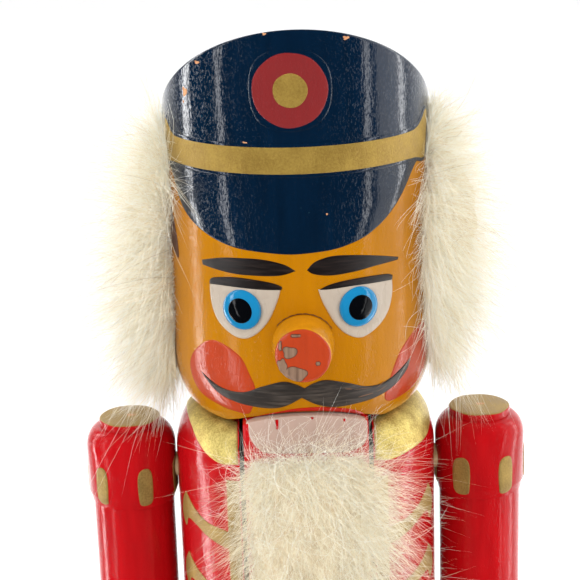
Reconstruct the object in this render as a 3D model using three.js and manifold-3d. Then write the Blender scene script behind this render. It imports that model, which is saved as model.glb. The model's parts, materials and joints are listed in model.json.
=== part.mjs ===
// A turned wooden nutcracker soldier, in millimetres.
// +Z is up, the figure faces -Y and stands on the floor at z = 0, its turning axis on x = y = 0.
// Left and right are the figure's own: its left side is +X.
//
// The head, trunk, legs and arms are lathe turnings. A slot is milled through the trunk from the
// chest to the back, and one wooden lever fills it: its front end is the jaw, its back end the
// handle that hangs like a coat tail. The lever turns on a steel pin across the trunk.

import * as THREE from 'three';
import { mergeVertices } from 'three/addons/utils/BufferGeometryUtils.js';
import Module from 'manifold-3d';

const wasm = await Module();
wasm.setup();

// ---------------------------------------------------------------- driving dimensions

const FIT_GAP = 0.3; // space left between two glued or resting pieces
const RUNNING_GAP = 0.1; // radial play of the lever on its pin
const TURNED_SIDES = 48; // facets round a large turning
const LIMB_SIDES = 28; // facets round a limb
const DOWEL_SIDES = 24; // facets round a dowel or a hole
const MOUTH_SIDES = 96; // facets round the arch of the mouth
const BEYOND = 100; // how far a cutter reaches past what it cuts

const PLINTH = { width: 88, depth: 84, height: 22, corner: 7, edge: 1.5 };

const TORSO_BOTTOM = 140;
const TORSO_TOP = 241.7;
const HEAD_BOTTOM = TORSO_TOP + FIT_GAP;
const TORSO_RADIUS = 31.9;
const TORSO_EDGE = 1.5; // bevel round the bottom edge
const BELT = { bottom: 155, top: 163, depth: 0.9 };
const SHOULDER = { inset: 7.5, height: 12.7 };

const LEG_BOTTOM = PLINTH.height + FIT_GAP;
const LEG_LENGTH = TORSO_BOTTOM - FIT_GAP - LEG_BOTTOM;
const LEG = { x: 15.5, shaft: 13.6, ankle: 12.8, knee: 13.2, hip: 14.2 };
const BOOT = { soleRadius: 14.6, soleHeight: 5, soleEdge: 0.8, ankleHeight: 31, cuffHeight: 56 };
const BOOT_CUFF = { bulge: 1, halfHeight: 3.4 };
const TOE = { halfWidth: 12.6, halfLength: 22, height: 14, centreY: -14 };

const HEAD_RADIUS = 31.2;
const HEAD_CHIN = { inset: 6.25, height: 15 };
const HEAD_AXIS_HEIGHT = 71.8; // underside of the head to its slanted top, on the axis
const CAP_SLOPE = THREE.MathUtils.degToRad(36); // the top is highest at the front
const CAP_BEVEL = 0.8;

const NOSE = { height: 22.3, rootRadius: 7.15, tipRadius: 6.3, seat: 25, projection: 7.5, edge: 1.2 };
const EYE = { height: 30.45, radius: 4.7, seat: 29.8, rim: 31.6, crown: 32.7 };
const EYE_ANGLE = { left: 0.418, right: 0.446 }; // set by hand: the left eye is nearer the nose

const SLOT = { width: 31.2, floor: 176, floorSlope: 0.242, roof: 224, roofSlope: 0.18 };
const JAW = { width: 29, frontRadius: 31.5, bottom: 186, back: -2, armUnderside: 191 };
const MOUTH = { radius: 36, axisHeight: 212, gap: 0.5 };
const NUT_POCKET = { radius: 12, y: -15, z: 250 };
const PIVOT = { y: 12, z: 212, pinRadius: 2, pinLength: 56 };
const HANDLE = { inner: 35.2, outer: 42, tip: 130, taperStart: 182, shoulder: 221.5 };
const HANDLE_TIP = { halfWidth: 10.5, round: 4 };

const ARM = { x: 43.2, top: 237, capRadius: 11, radius: 10, neckRadius: 7.5, length: 89 };
const ARM_CAP = { neckHeight: 1.85, roundEnd: 7.2, sideEnd: 18.4, end: 21 };
const CUFF = { radius: 10.7, height: 10 };
const HAND = { radius: 9, wrist: 6.8, length: 18, tenonRadius: 3, tenonLength: 10 };

const NECK_DOWEL = { radius: 4.8, y: 14, bottom: 229.5, length: 26.5 };
const ARM_DOWEL = { radius: 3, inner: 22, length: 16, height: 224 };
const LEG_DOWEL = { radius: 4, length: 30 };
const SCREW = { headRadius: 4, headHeight: 2.6, rim: 0.6, shankRadius: 1.9, point: 5, length: 42, recess: 3 };

const HAIR = { inner: 31.6, bulge: 18.5, bottom: 4, top: 74, face: 1.12, faceDepth: 10, trim: 1.5 };
const BEARD = { halfWidth: 14.3, back: -32.3, thickness: 10.5, bottom: 190, top: 239 };

const SIDES = [['left', 1], ['right', -1]];

// ---------------------------------------------------------------- materials

function paint(colour, roughness, metalness = 0) {
  return new THREE.MeshStandardMaterial({ color: colour, roughness, metalness });
}

const MATERIALS = {
  bareWood: paint(0xd9ac6c, 0.45),
  dowelWood: paint(0xd8bd8c, 0.7),
  redEnamel: paint(0xb3101c, 0.22),
  faceEnamel: paint(0xe89c22, 0.25),
  blackEnamel: paint(0x14110f, 0.18),
  skinEnamel: paint(0xe8a050, 0.3),
  blueButton: paint(0x1d82bc, 0.12),
  steel: paint(0xa9abae, 0.35, 0.9),
  fur: paint(0xf1e8d4, 0.95),
};

// ---------------------------------------------------------------- geometry helpers

// Points of an elliptical arc, angles in quarter turns, from the +horizontal towards +vertical.
function arc(centreX, centreY, radiusX, radiusY, from, to, steps) {
  const points = [];
  for (let i = 0; i <= steps; i += 1) {
    const angle = (from + ((to - from) * i) / steps) * (Math.PI / 2);
    points.push([centreX + radiusX * Math.cos(angle), centreY + radiusY * Math.sin(angle)]);
  }
  return points;
}

// A turning round the Z axis; the profile lists [radius, height] from the bottom up.
function turned(profile, sides) {
  const points = profile.map(([radius, height]) => new THREE.Vector2(radius, height));
  return new THREE.LatheGeometry(points, sides).rotateX(Math.PI / 2);
}

// A turning that points forwards: the profile lists [radius, distance in front of the axis].
function turnedForwards(profile, sides) {
  return turned(profile, sides).rotateX(Math.PI / 2);
}

function rod(radius, length, sides = DOWEL_SIDES) {
  return turned([[0, 0], [radius, 0], [radius, length], [0, length]], sides);
}

// A board cut to a side view: the outline lists [y, z], and the board is centred across X.
function sideBoard(outline, width) {
  const shape = new THREE.Shape(outline.map(([y, z]) => new THREE.Vector2(y, z)));
  const board = new THREE.ExtrudeGeometry(shape, { depth: width, bevelEnabled: false });
  board.translate(0, 0, -width / 2);
  const axes = new THREE.Matrix4().makeBasis(
    new THREE.Vector3(0, 1, 0),
    new THREE.Vector3(0, 0, 1),
    new THREE.Vector3(1, 0, 0),
  );
  return board.applyMatrix4(axes);
}

// A prism cut to a front view: the shape is drawn in x and z, and it runs from back to front in y.
function frontPrism(shape, back, front) {
  const settings = { depth: back - front, bevelEnabled: false, curveSegments: 6 };
  const prism = new THREE.ExtrudeGeometry(shape, settings);
  const axes = new THREE.Matrix4().makeBasis(
    new THREE.Vector3(1, 0, 0),
    new THREE.Vector3(0, 0, 1),
    new THREE.Vector3(0, -1, 0),
  );
  return prism.applyMatrix4(axes).translate(0, back, 0);
}

function block(lowX, lowY, lowZ, highX, highY, highZ) {
  const box = new THREE.BoxGeometry(highX - lowX, highY - lowY, highZ - lowZ);
  return box.translate((lowX + highX) / 2, (lowY + highY) / 2, (lowZ + highZ) / 2);
}

// Welds a closed geometry and hands it to the boolean library.
function solid(geometry) {
  const bare = geometry.clone();
  bare.deleteAttribute('normal');
  bare.deleteAttribute('uv');
  const welded = mergeVertices(bare, 1e-4);
  const corners = welded.index.array;
  const triangles = [];
  for (let i = 0; i < corners.length; i += 3) {
    const [a, b, c] = [corners[i], corners[i + 1], corners[i + 2]];
    if (a !== b && b !== c && c !== a) triangles.push(a, b, c);
  }
  return new wasm.Manifold(new wasm.Mesh({
    numProp: 3,
    vertProperties: Float32Array.from(welded.attributes.position.array),
    triVerts: Uint32Array.from(triangles),
  }));
}

function geometryOf(body) {
  const { vertProperties, triVerts } = body.getMesh();
  const geometry = new THREE.BufferGeometry();
  geometry.setAttribute('position', new THREE.BufferAttribute(vertProperties, 3));
  geometry.setIndex(new THREE.BufferAttribute(triVerts, 1));
  geometry.computeVertexNormals();
  return geometry;
}

function cut(geometry, ...cutters) {
  const remainder = cutters.reduce((body, cutter) => body.subtract(solid(cutter)), solid(geometry));
  return geometryOf(remainder);
}

function piece(name, geometry, material) {
  const mesh = new THREE.Mesh(geometry, material);
  mesh.name = name;
  return mesh;
}

// ---------------------------------------------------------------- plinth

function roundedRectangle(width, depth, corner) {
  const [x, y] = [width / 2, depth / 2];
  const shape = new THREE.Shape();
  shape.moveTo(-x + corner, -y);
  shape.lineTo(x - corner, -y);
  shape.absarc(x - corner, -y + corner, corner, -Math.PI / 2, 0);
  shape.absarc(x - corner, y - corner, corner, 0, Math.PI / 2);
  shape.absarc(-x + corner, y - corner, corner, Math.PI / 2, Math.PI);
  shape.absarc(-x + corner, -y + corner, corner, Math.PI, Math.PI * 1.5);
  return shape;
}

function basePlinth() {
  const { width, depth, height, corner, edge } = PLINTH;
  const outline = roundedRectangle(width - 2 * edge, depth - 2 * edge, corner - edge);
  const slab = new THREE.ExtrudeGeometry(outline, {
    depth: height - 2 * edge,
    bevelThickness: edge,
    bevelSize: edge,
    bevelSegments: 1,
    curveSegments: 4,
  }).translate(0, 0, edge);
  const screwHoles = SIDES.flatMap(([, side]) => [
    rod(SCREW.shankRadius + FIT_GAP, BEYOND).translate(side * LEG.x, 0, -1),
    rod(SCREW.headRadius + FIT_GAP, SCREW.recess + SCREW.headHeight + 1).translate(side * LEG.x, 0, -1),
  ]);
  return piece('base_plinth', cut(slab, ...screwHoles), MATERIALS.bareWood);
}

// A countersunk screw, point up: its head sits in the underside of the plinth.
function baseScrew(sideName, side) {
  const { headRadius, headHeight, rim, shankRadius, point, length, recess } = SCREW;
  const profile = [[0, 0], [headRadius, 0], [headRadius, rim], [shankRadius, headHeight]];
  profile.push([shankRadius, length - point], [0, length]);
  const screw = piece(`base_screw_${sideName}`, turned(profile, DOWEL_SIDES), MATERIALS.steel);
  screw.position.set(side * LEG.x, 0, recess);
  return screw;
}

// ---------------------------------------------------------------- legs

// One turning: black boot with a turned sole and cuff, and the trouser leg above it.
function leg(sideName) {
  const { shaft, ankle, knee, hip } = LEG;
  const { soleRadius, soleHeight, soleEdge, ankleHeight, cuffHeight } = BOOT;
  const profile = [[0, 0], [soleRadius - soleEdge, 0], [soleRadius, soleEdge]];
  profile.push([soleRadius, soleHeight - soleEdge], [shaft, soleHeight], [ankle, ankleHeight]);
  profile.push([shaft, cuffHeight - BOOT_CUFF.halfHeight - 1]);
  profile.push(...arc(shaft, cuffHeight, BOOT_CUFF.bulge, BOOT_CUFF.halfHeight, -1, 1, 4));
  profile.push([knee, cuffHeight + BOOT_CUFF.halfHeight + 1]);
  profile.push([hip, LEG_LENGTH * 0.8], [hip, LEG_LENGTH], [0, LEG_LENGTH]);
  const dowelSeat = LEG_LENGTH - LEG_DOWEL.length / 2 - FIT_GAP;
  const dowelHole = rod(LEG_DOWEL.radius + FIT_GAP, LEG_DOWEL.length).translate(0, 0, dowelSeat);
  const screwReach = SCREW.recess + SCREW.length + FIT_GAP - LEG_BOTTOM;
  const screwHole = rod(SCREW.shankRadius + FIT_GAP, screwReach + BEYOND).translate(0, 0, -BEYOND);
  const turning = cut(turned(profile, LIMB_SIDES), dowelHole, screwHole);
  return piece(`leg_${sideName}`, turning, MATERIALS.blackEnamel);
}

// The toe is half an egg glued to the front of the boot.
function bootToe(sideName) {
  const { halfWidth, halfLength, height, centreY } = TOE;
  const egg = new THREE.SphereGeometry(1, 28, 20).rotateX(Math.PI / 2).scale(halfWidth, halfLength, height);
  egg.translate(0, centreY, 0);
  const below = block(-BEYOND, -BEYOND, -BEYOND, BEYOND, BEYOND, 0);
  const behind = block(-BEYOND, 0, -BEYOND, BEYOND, BEYOND, BEYOND);
  const boot = rod(BOOT.soleRadius + FIT_GAP, BEYOND, LIMB_SIDES).translate(0, 0, -1);
  return piece(`boot_toe_${sideName}`, cut(egg, below, boot, behind), MATERIALS.blackEnamel);
}

function legDowel(sideName) {
  const dowel = piece(`leg_dowel_${sideName}`, rod(LEG_DOWEL.radius, LEG_DOWEL.length), MATERIALS.dowelWood);
  dowel.position.z = LEG_LENGTH - LEG_DOWEL.length / 2;
  return dowel;
}

function legGroup(sideName, side) {
  const group = new THREE.Group();
  group.add(leg(sideName), bootToe(sideName), legDowel(sideName));
  group.position.set(side * LEG.x, 0, LEG_BOTTOM);
  return group;
}

// ---------------------------------------------------------------- trunk

// The slot, seen from the side. Its floor slopes down to the chest, and its back half is roofed
// by the bridge that carries the head, so the head can stand behind the open mouth.
function slotCutter() {
  const [front, back] = [-BEYOND, BEYOND];
  const floorAt = (y) => SLOT.floor + y * SLOT.floorSlope;
  const roofAt = (y) => SLOT.roof + y * SLOT.roofSlope;
  const outline = [
    [front, floorAt(front)],
    [back, floorAt(back)],
    [back, roofAt(back)],
    [0, roofAt(0)],
    [0, TORSO_TOP + 1],
    [front, TORSO_TOP + 1],
  ];
  return sideBoard(outline, SLOT.width);
}

function torso() {
  const [radius, top] = [TORSO_RADIUS, TORSO_TOP];
  const waist = radius - BELT.depth;
  const hem = TORSO_BOTTOM + TORSO_EDGE;
  const profile = [[0, TORSO_BOTTOM], [radius - TORSO_EDGE, TORSO_BOTTOM], [radius, hem]];
  profile.push([radius, BELT.bottom - BELT.depth], [waist, BELT.bottom]);
  profile.push([waist, BELT.top], [radius, BELT.top + BELT.depth]);
  const { inset, height } = SHOULDER;
  profile.push(...arc(radius - inset, top - height, inset, height, 0, 1, 8), [0, top]);
  const neckHole = rod(NECK_DOWEL.radius + FIT_GAP, BEYOND);
  neckHole.translate(0, NECK_DOWEL.y, NECK_DOWEL.bottom - FIT_GAP);
  const limbHoles = SIDES.flatMap(([, side]) => {
    const armHole = rod(ARM_DOWEL.radius + FIT_GAP, BEYOND).rotateY(side * (Math.PI / 2));
    armHole.translate(side * (ARM_DOWEL.inner - FIT_GAP), 0, ARM_DOWEL.height);
    const legHole = rod(LEG_DOWEL.radius + FIT_GAP, LEG_DOWEL.length);
    legHole.translate(side * LEG.x, 0, TORSO_BOTTOM - LEG_DOWEL.length / 2);
    return [armHole, legHole];
  });
  const pinHole = pivotHole(FIT_GAP / 2);
  const body = cut(turned(profile, TURNED_SIDES), slotCutter(), pinHole, neckHole, ...limbHoles);
  return piece('torso', body, MATERIALS.redEnamel);
}

function pivotHole(play) {
  const hole = rod(PIVOT.pinRadius + play, 2 * BEYOND).rotateY(Math.PI / 2);
  return hole.translate(-BEYOND, PIVOT.y, PIVOT.z);
}

function pivotPin() {
  const { pinRadius, pinLength, y, z } = PIVOT;
  const pin = piece('pivot_pin', rod(pinRadius, pinLength), MATERIALS.steel);
  pin.rotation.y = Math.PI / 2;
  pin.position.set(-pinLength / 2, y, z);
  return pin;
}

// ---------------------------------------------------------------- jaw lever

// Side view of the lever: jaw block at the front, arm through the trunk, handle down the back.
function leverOutline() {
  const { inner, outer, tip, taperStart, shoulder } = HANDLE;
  const { bottom, back, armUnderside } = JAW;
  const jawTop = MOUTH.axisHeight + MOUTH.radius;
  const front = -TORSO_RADIUS - 1;
  return [
    [front, bottom],
    [PIVOT.y, armUnderside],
    [inner, armUnderside],
    [inner, tip + 3],
    [inner + 3, tip],
    [outer - 1, tip],
    [outer + 1, tip + 3],
    [outer, taperStart],
    [outer - 1, shoulder - 8],
    [inner - 1, shoulder],
    [back, shoulder],
    [back, jawTop],
    [front, jawTop],
  ];
}

// The arch of the mouth: a cylinder that runs forwards from the given depth.
function mouthArch(radius, back, height) {
  return rod(radius, back + BEYOND, MOUTH_SIDES).rotateX(Math.PI / 2).translate(0, back, height);
}

// The jaw's face follows the chest, its top follows the arched edge of the head above it.
function jawLimit() {
  const face = solid(rod(JAW.frontRadius, HEAD_BOTTOM + BEYOND, TURNED_SIDES));
  const rear = solid(block(-BEYOND, 0, 0, BEYOND, BEYOND, HEAD_BOTTOM + BEYOND));
  const lower = solid(block(-BEYOND, -BEYOND, 0, BEYOND, BEYOND, MOUTH.axisHeight));
  const arch = solid(mouthArch(MOUTH.radius - MOUTH.gap, BEYOND, MOUTH.axisHeight));
  return face.add(rear).intersect(lower.add(arch));
}

// Front view of the lever: full width down to the skirt, then tapering to a rounded tip.
function handleLimit() {
  const { tip, taperStart } = HANDLE;
  const { halfWidth: tipHalfWidth, round } = HANDLE_TIP;
  const half = JAW.width / 2;
  const top = HEAD_BOTTOM + BEYOND;
  const shape = new THREE.Shape();
  shape.moveTo(-tipHalfWidth + round, tip);
  shape.lineTo(tipHalfWidth - round, tip);
  shape.quadraticCurveTo(tipHalfWidth, tip, tipHalfWidth, tip + round);
  shape.lineTo(half, taperStart);
  shape.lineTo(half, top);
  shape.lineTo(-half, top);
  shape.lineTo(-half, taperStart);
  shape.lineTo(-tipHalfWidth, tip + round);
  shape.quadraticCurveTo(-tipHalfWidth, tip, -tipHalfWidth + round, tip);
  return solid(frontPrism(shape, BEYOND, -BEYOND));
}

function jawLever() {
  const pocket = new THREE.SphereGeometry(NUT_POCKET.radius, 24, 16);
  pocket.rotateX(Math.PI / 2).translate(0, NUT_POCKET.y, NUT_POCKET.z);
  const blank = solid(sideBoard(leverOutline(), JAW.width)).intersect(jawLimit()).intersect(handleLimit());
  const lever = geometryOf(blank.subtract(solid(pivotHole(RUNNING_GAP))).subtract(solid(pocket)));
  return piece('jaw_lever', lever, MATERIALS.redEnamel);
}

// The beard is a strip of fur glued to the face of the jaw; this is the space it fills.
function beardFur() {
  const { halfWidth, back, thickness, bottom, top } = BEARD;
  const middle = (bottom + top) / 2;
  const pad = new THREE.SphereGeometry(1, 20, 16).scale(halfWidth, thickness, (top - bottom) / 2);
  pad.translate(0, back, middle);
  const jawSide = block(-BEYOND, back, bottom - 1, BEYOND, BEYOND, top + 1);
  return piece('beard_fur', cut(pad, jawSide), MATERIALS.fur);
}

// ---------------------------------------------------------------- head

// A plain cylinder with a rounded chin. Its top rings are sheared, so the top slants backwards.
function headBlank() {
  const [radius, top] = [HEAD_RADIUS, HEAD_AXIS_HEIGHT];
  const chin = arc(radius - HEAD_CHIN.inset, HEAD_CHIN.height, HEAD_CHIN.inset, HEAD_CHIN.height, -1, 0, 8);
  const profile = [[0, 0], ...chin, [radius, top - CAP_BEVEL], [radius - CAP_BEVEL, top], [0, top]];
  const blank = turned(profile, TURNED_SIDES);
  const position = blank.attributes.position;
  for (let i = 0; i < position.count; i += 1) {
    const height = position.getZ(i);
    if (height > HEAD_CHIN.height + 1) position.setZ(i, height - position.getY(i) * Math.tan(CAP_SLOPE));
  }
  return blank;
}

// A blind hole drilled into the face, from in front of it to the seat of the piece it holds.
function faceHole(pieceRadius, seat) {
  const radius = pieceRadius + FIT_GAP / 2;
  const floor = seat - FIT_GAP;
  return turnedForwards([[0, floor], [radius, floor], [radius, BEYOND], [0, BEYOND]], DOWEL_SIDES);
}

function head() {
  const mouth = mouthArch(MOUTH.radius, 0, MOUTH.axisHeight - HEAD_BOTTOM);
  const noseHole = faceHole(NOSE.rootRadius, NOSE.seat).translate(0, 0, NOSE.height);
  const eyeHoles = SIDES.map(([sideName, side]) => {
    const hole = faceHole(EYE.radius, EYE.seat).rotateZ(side * EYE_ANGLE[sideName]);
    return hole.translate(0, 0, EYE.height);
  });
  const neckHoleTop = NECK_DOWEL.bottom + NECK_DOWEL.length + FIT_GAP - HEAD_BOTTOM;
  const neckHole = rod(NECK_DOWEL.radius + FIT_GAP, neckHoleTop + 1).translate(0, NECK_DOWEL.y, -1);
  return piece('head', cut(headBlank(), mouth, noseHole, neckHole, ...eyeHoles), MATERIALS.faceEnamel);
}

function nosePlug() {
  const { height, rootRadius, tipRadius, seat, projection, edge } = NOSE;
  const tip = HEAD_RADIUS + projection;
  const profile = [[0, seat], [rootRadius, seat], [rootRadius, HEAD_RADIUS]];
  profile.push(...arc(tipRadius - edge, tip - edge, edge, edge, 0, 1, 3), [0, tip]);
  const nose = piece('nose_plug', turnedForwards(profile, DOWEL_SIDES), MATERIALS.faceEnamel);
  nose.position.z = height;
  return nose;
}

function eyeButton(sideName, side) {
  const { height, radius, seat, rim, crown } = EYE;
  const dome = arc(0, rim, radius, crown - rim, 0, 1, 5);
  const turning = turnedForwards([[0, seat], [radius, seat], ...dome], DOWEL_SIDES);
  const button = piece(`eye_button_${sideName}`, turning, MATERIALS.blueButton);
  button.rotation.z = side * EYE_ANGLE[sideName];
  button.position.z = height;
  return button;
}

function neckDowel() {
  const dowel = piece('neck_dowel', rod(NECK_DOWEL.radius, NECK_DOWEL.length), MATERIALS.dowelWood);
  dowel.position.set(0, NECK_DOWEL.y, NECK_DOWEL.bottom - HEAD_BOTTOM);
  return dowel;
}

// The hair is a strip of fur glued round the back of the head from ear to ear; this is its space.
function hairFur() {
  const { inner, bulge, bottom, top, face, faceDepth, trim } = HAIR;
  const middle = (bottom + top) / 2;
  const outer = arc(inner, middle, bulge, (top - bottom) / 2, -1, 1, 12);
  const ring = turned([...outer, outer[0]], TURNED_SIDES);
  const wedge = new THREE.Shape();
  wedge.moveTo(0, faceDepth);
  wedge.lineTo(-2 * BEYOND * Math.sin(face), -2 * BEYOND * Math.cos(face));
  wedge.lineTo(2 * BEYOND * Math.sin(face), -2 * BEYOND * Math.cos(face));
  const faceCutter = new THREE.ExtrudeGeometry(wedge, { depth: BEYOND, bevelEnabled: false });
  const capTop = HEAD_AXIS_HEIGHT - trim;
  const drop = BEYOND * Math.tan(CAP_SLOPE);
  const high = capTop + drop + 1;
  const capLine = [[-BEYOND, capTop + drop], [BEYOND, capTop - drop], [BEYOND, high], [-BEYOND, high]];
  const aboveCap = sideBoard(capLine, 2 * BEYOND);
  return piece('hair_fur', cut(ring, faceCutter, aboveCap), MATERIALS.fur);
}

function headGroup() {
  const group = new THREE.Group();
  group.add(head(), nosePlug(), neckDowel(), hairFur());
  SIDES.forEach(([sideName, side]) => group.add(eyeButton(sideName, side)));
  group.position.z = HEAD_BOTTOM;
  return group;
}

// ---------------------------------------------------------------- arms

// One turning, drawn from the cuff (z = 0) up to the flat top of the shoulder.
function arm(sideName, side) {
  const { capRadius, radius, neckRadius, length } = ARM;
  const { neckHeight, roundEnd, sideEnd, end } = ARM_CAP;
  const roundHeight = roundEnd - neckHeight;
  const profile = [[0, 0], [CUFF.radius, 0], [CUFF.radius, CUFF.height], [radius, CUFF.height + 0.6]];
  profile.push([radius, length - end], [capRadius, length - sideEnd]);
  profile.push(...arc(neckRadius, length - roundEnd, capRadius - neckRadius, roundHeight, 0, 1, 6));
  profile.push([neckRadius, length], [0, length]);
  const dowelHeight = ARM_DOWEL.height - (ARM.top - length);
  const dowelEnd = ARM_DOWEL.inner + ARM_DOWEL.length + FIT_GAP - ARM.x;
  const dowelHole = rod(ARM_DOWEL.radius + FIT_GAP, BEYOND).rotateY(-side * (Math.PI / 2));
  dowelHole.translate(side * dowelEnd, 0, dowelHeight);
  const tenonHole = rod(HAND.tenonRadius + FIT_GAP, HAND.tenonLength + 1).translate(0, 0, -1);
  const turning = cut(turned(profile, LIMB_SIDES), dowelHole, tenonHole);
  return piece(`arm_${sideName}`, turning, MATERIALS.redEnamel);
}

function hand(sideName) {
  const { radius, wrist, length, tenonRadius, tenonLength } = HAND;
  const wristAngle = Math.acos(wrist / radius) / (Math.PI / 2);
  const profile = arc(0, radius - length - FIT_GAP, radius, radius, -1, wristAngle, 8);
  profile.push([wrist, -FIT_GAP], [tenonRadius, -FIT_GAP], [tenonRadius, tenonLength - FIT_GAP]);
  profile.push([0, tenonLength - FIT_GAP]);
  return piece(`hand_${sideName}`, turned(profile, LIMB_SIDES), MATERIALS.skinEnamel);
}

function armDowel(sideName, side) {
  const dowel = piece(`arm_dowel_${sideName}`, rod(ARM_DOWEL.radius, ARM_DOWEL.length), MATERIALS.dowelWood);
  dowel.rotation.y = side * (Math.PI / 2);
  dowel.position.set(side * (ARM_DOWEL.inner - ARM.x), 0, ARM_DOWEL.height - (ARM.top - ARM.length));
  return dowel;
}

function armGroup(sideName, side) {
  const group = new THREE.Group();
  group.add(arm(sideName, side), hand(sideName), armDowel(sideName, side));
  group.position.set(side * ARM.x, 0, ARM.top - ARM.length);
  return group;
}

// ---------------------------------------------------------------- assembly

const nutcracker = new THREE.Group();
nutcracker.add(basePlinth(), torso(), pivotPin(), jawLever(), beardFur(), headGroup());
SIDES.forEach(([sideName, side]) => {
  nutcracker.add(baseScrew(sideName, side), legGroup(sideName, side), armGroup(sideName, side));
});

export default nutcracker;
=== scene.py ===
import json
import math

import bmesh
import bpy
import numpy as np
from mathutils import Matrix, Vector, geometry


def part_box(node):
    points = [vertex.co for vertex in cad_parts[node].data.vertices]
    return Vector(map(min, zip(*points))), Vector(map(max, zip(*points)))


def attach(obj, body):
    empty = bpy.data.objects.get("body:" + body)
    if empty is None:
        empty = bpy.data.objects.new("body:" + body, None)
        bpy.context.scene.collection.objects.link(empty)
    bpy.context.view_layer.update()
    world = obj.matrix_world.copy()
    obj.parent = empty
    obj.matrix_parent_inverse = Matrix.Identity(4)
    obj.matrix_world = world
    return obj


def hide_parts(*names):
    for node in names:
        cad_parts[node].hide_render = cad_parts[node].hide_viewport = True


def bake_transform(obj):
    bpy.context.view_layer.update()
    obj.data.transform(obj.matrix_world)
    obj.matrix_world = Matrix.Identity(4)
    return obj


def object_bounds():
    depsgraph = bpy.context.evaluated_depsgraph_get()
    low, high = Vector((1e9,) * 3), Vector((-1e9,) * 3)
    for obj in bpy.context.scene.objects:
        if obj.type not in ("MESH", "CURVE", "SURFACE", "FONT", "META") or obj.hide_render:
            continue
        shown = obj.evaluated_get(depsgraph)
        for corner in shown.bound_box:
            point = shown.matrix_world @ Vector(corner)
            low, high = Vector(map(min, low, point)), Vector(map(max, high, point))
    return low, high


# The looks of a turned wooden nutcracker, built round its CAD frame.
# Lengths in this script are in millimetres, and new_piece() turns them into metres.
# Left and right are the figure's own: its left side is +X. It faces -Y.

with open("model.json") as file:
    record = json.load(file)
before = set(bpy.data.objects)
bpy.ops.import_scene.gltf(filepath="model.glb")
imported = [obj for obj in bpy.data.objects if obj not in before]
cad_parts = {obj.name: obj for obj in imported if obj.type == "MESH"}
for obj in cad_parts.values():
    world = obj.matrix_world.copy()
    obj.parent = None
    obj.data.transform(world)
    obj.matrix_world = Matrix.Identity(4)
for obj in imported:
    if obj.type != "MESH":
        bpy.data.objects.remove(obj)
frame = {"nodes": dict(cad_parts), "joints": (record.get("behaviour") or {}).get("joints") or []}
cad_low, cad_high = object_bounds()

MM = 0.001
SIDES = {"left": 1, "right": -1}


def box_mm(node):
    """Lowest and highest corner of a CAD node, in millimetres."""
    low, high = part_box(node)
    return np.array(low) / MM, np.array(high) / MM


# ---------------------------------------------------------------- sizes taken from the frame

HEAD_LOW, HEAD_HIGH = box_mm("head")
TORSO_LOW, TORSO_HIGH = box_mm("torso")
JAW_LOW, JAW_HIGH = box_mm("jaw_lever")
ARM_LOW, ARM_HIGH = box_mm("arm_left")
LEG_LOW, LEG_HIGH = box_mm("leg_left")
TOE_LOW, TOE_HIGH = box_mm("boot_toe_left")
HAND_LOW, HAND_HIGH = box_mm("hand_left")
NOSE_LOW, NOSE_HIGH = box_mm("nose_plug")
EYE_LOW, EYE_HIGH = box_mm("eye_button_left")
PLINTH_LOW, PLINTH_HIGH = box_mm("base_plinth")
PIN_LOW, PIN_HIGH = box_mm("pivot_pin")
BEARD_LOW, BEARD_HIGH = box_mm("beard_fur")

# Heights of painted details are measured from the flat tops of the arms.
DATUM = ARM_HIGH[2]

HEAD_RADIUS = HEAD_HIGH[0]
HEAD_BOTTOM = HEAD_LOW[2]
CHIN_INSET = 6.25
CHIN_HEIGHT = 15
CAP_SLOPE = math.tan(math.radians(36))
CAP_TOP = HEAD_HIGH[2] - HEAD_RADIUS * CAP_SLOPE  # height of the slanted top on the axis
CAP_BEVEL = 0.9

TORSO_RADIUS = TORSO_HIGH[0]
TORSO_BOTTOM = TORSO_LOW[2]
TORSO_TOP = TORSO_HIGH[2]
SHOULDER_INSET = 7.5
SHOULDER_HEIGHT = 12.7
BELT_BOTTOM = 155
BELT_TOP = 163
BELT_DEPTH = 0.9

SLOT_HALF = 15.6
SLOT_FLOOR = 176
SLOT_FLOOR_SLOPE = 0.242
SLOT_ROOF = 224
SLOT_ROOF_SLOPE = 0.18

JAW_HALF = JAW_HIGH[0]
JAW_RADIUS = -JAW_LOW[1]
MOUTH_AXIS = 212
MOUTH_RADIUS = 36
JAW_ARCH_RADIUS = 35.5
HANDLE_TIP = JAW_LOW[2]

PIVOT = frame["joints"][0]["pos_m"]
PIVOT_Y = PIVOT[1] / MM
PIVOT_Z = PIVOT[2] / MM

ARM_X = (ARM_LOW[0] + ARM_HIGH[0]) / 2
ARM_BOTTOM = ARM_LOW[2]
ARM_CAP_RADIUS = (ARM_HIGH[0] - ARM_LOW[0]) / 2
ARM_RADIUS = 10
ARM_NECK_RADIUS = 7.5
ARM_NECK_HEIGHT = 1.85
ARM_ROUND_END = 7.2
ARM_CAP_SIDE_END = 18.4
ARM_CAP_END = 21
CUFF_RADIUS = 10.7
CUFF_HEIGHT = 10

LEG_X = (LEG_LOW[0] + LEG_HIGH[0]) / 2
LEG_BOTTOM = LEG_LOW[2]
LEG_LENGTH = LEG_HIGH[2] - LEG_LOW[2]
BOOT_HEIGHT = 56
SOLE_HEIGHT = 5

NOSE_Z = (NOSE_LOW[2] + NOSE_HIGH[2]) / 2
NOSE_TIP = -NOSE_LOW[1]
NOSE_SEAT = -NOSE_HIGH[1]
NOSE_ROOT_RADIUS = NOSE_HIGH[0]
NOSE_TIP_RADIUS = 6.3
EYE_Z = (EYE_LOW[2] + EYE_HIGH[2]) / 2
EYE_RADIUS = (EYE_HIGH[2] - EYE_LOW[2]) / 2
EYE_ANGLE = {"left": 0.418, "right": 0.446}

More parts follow.
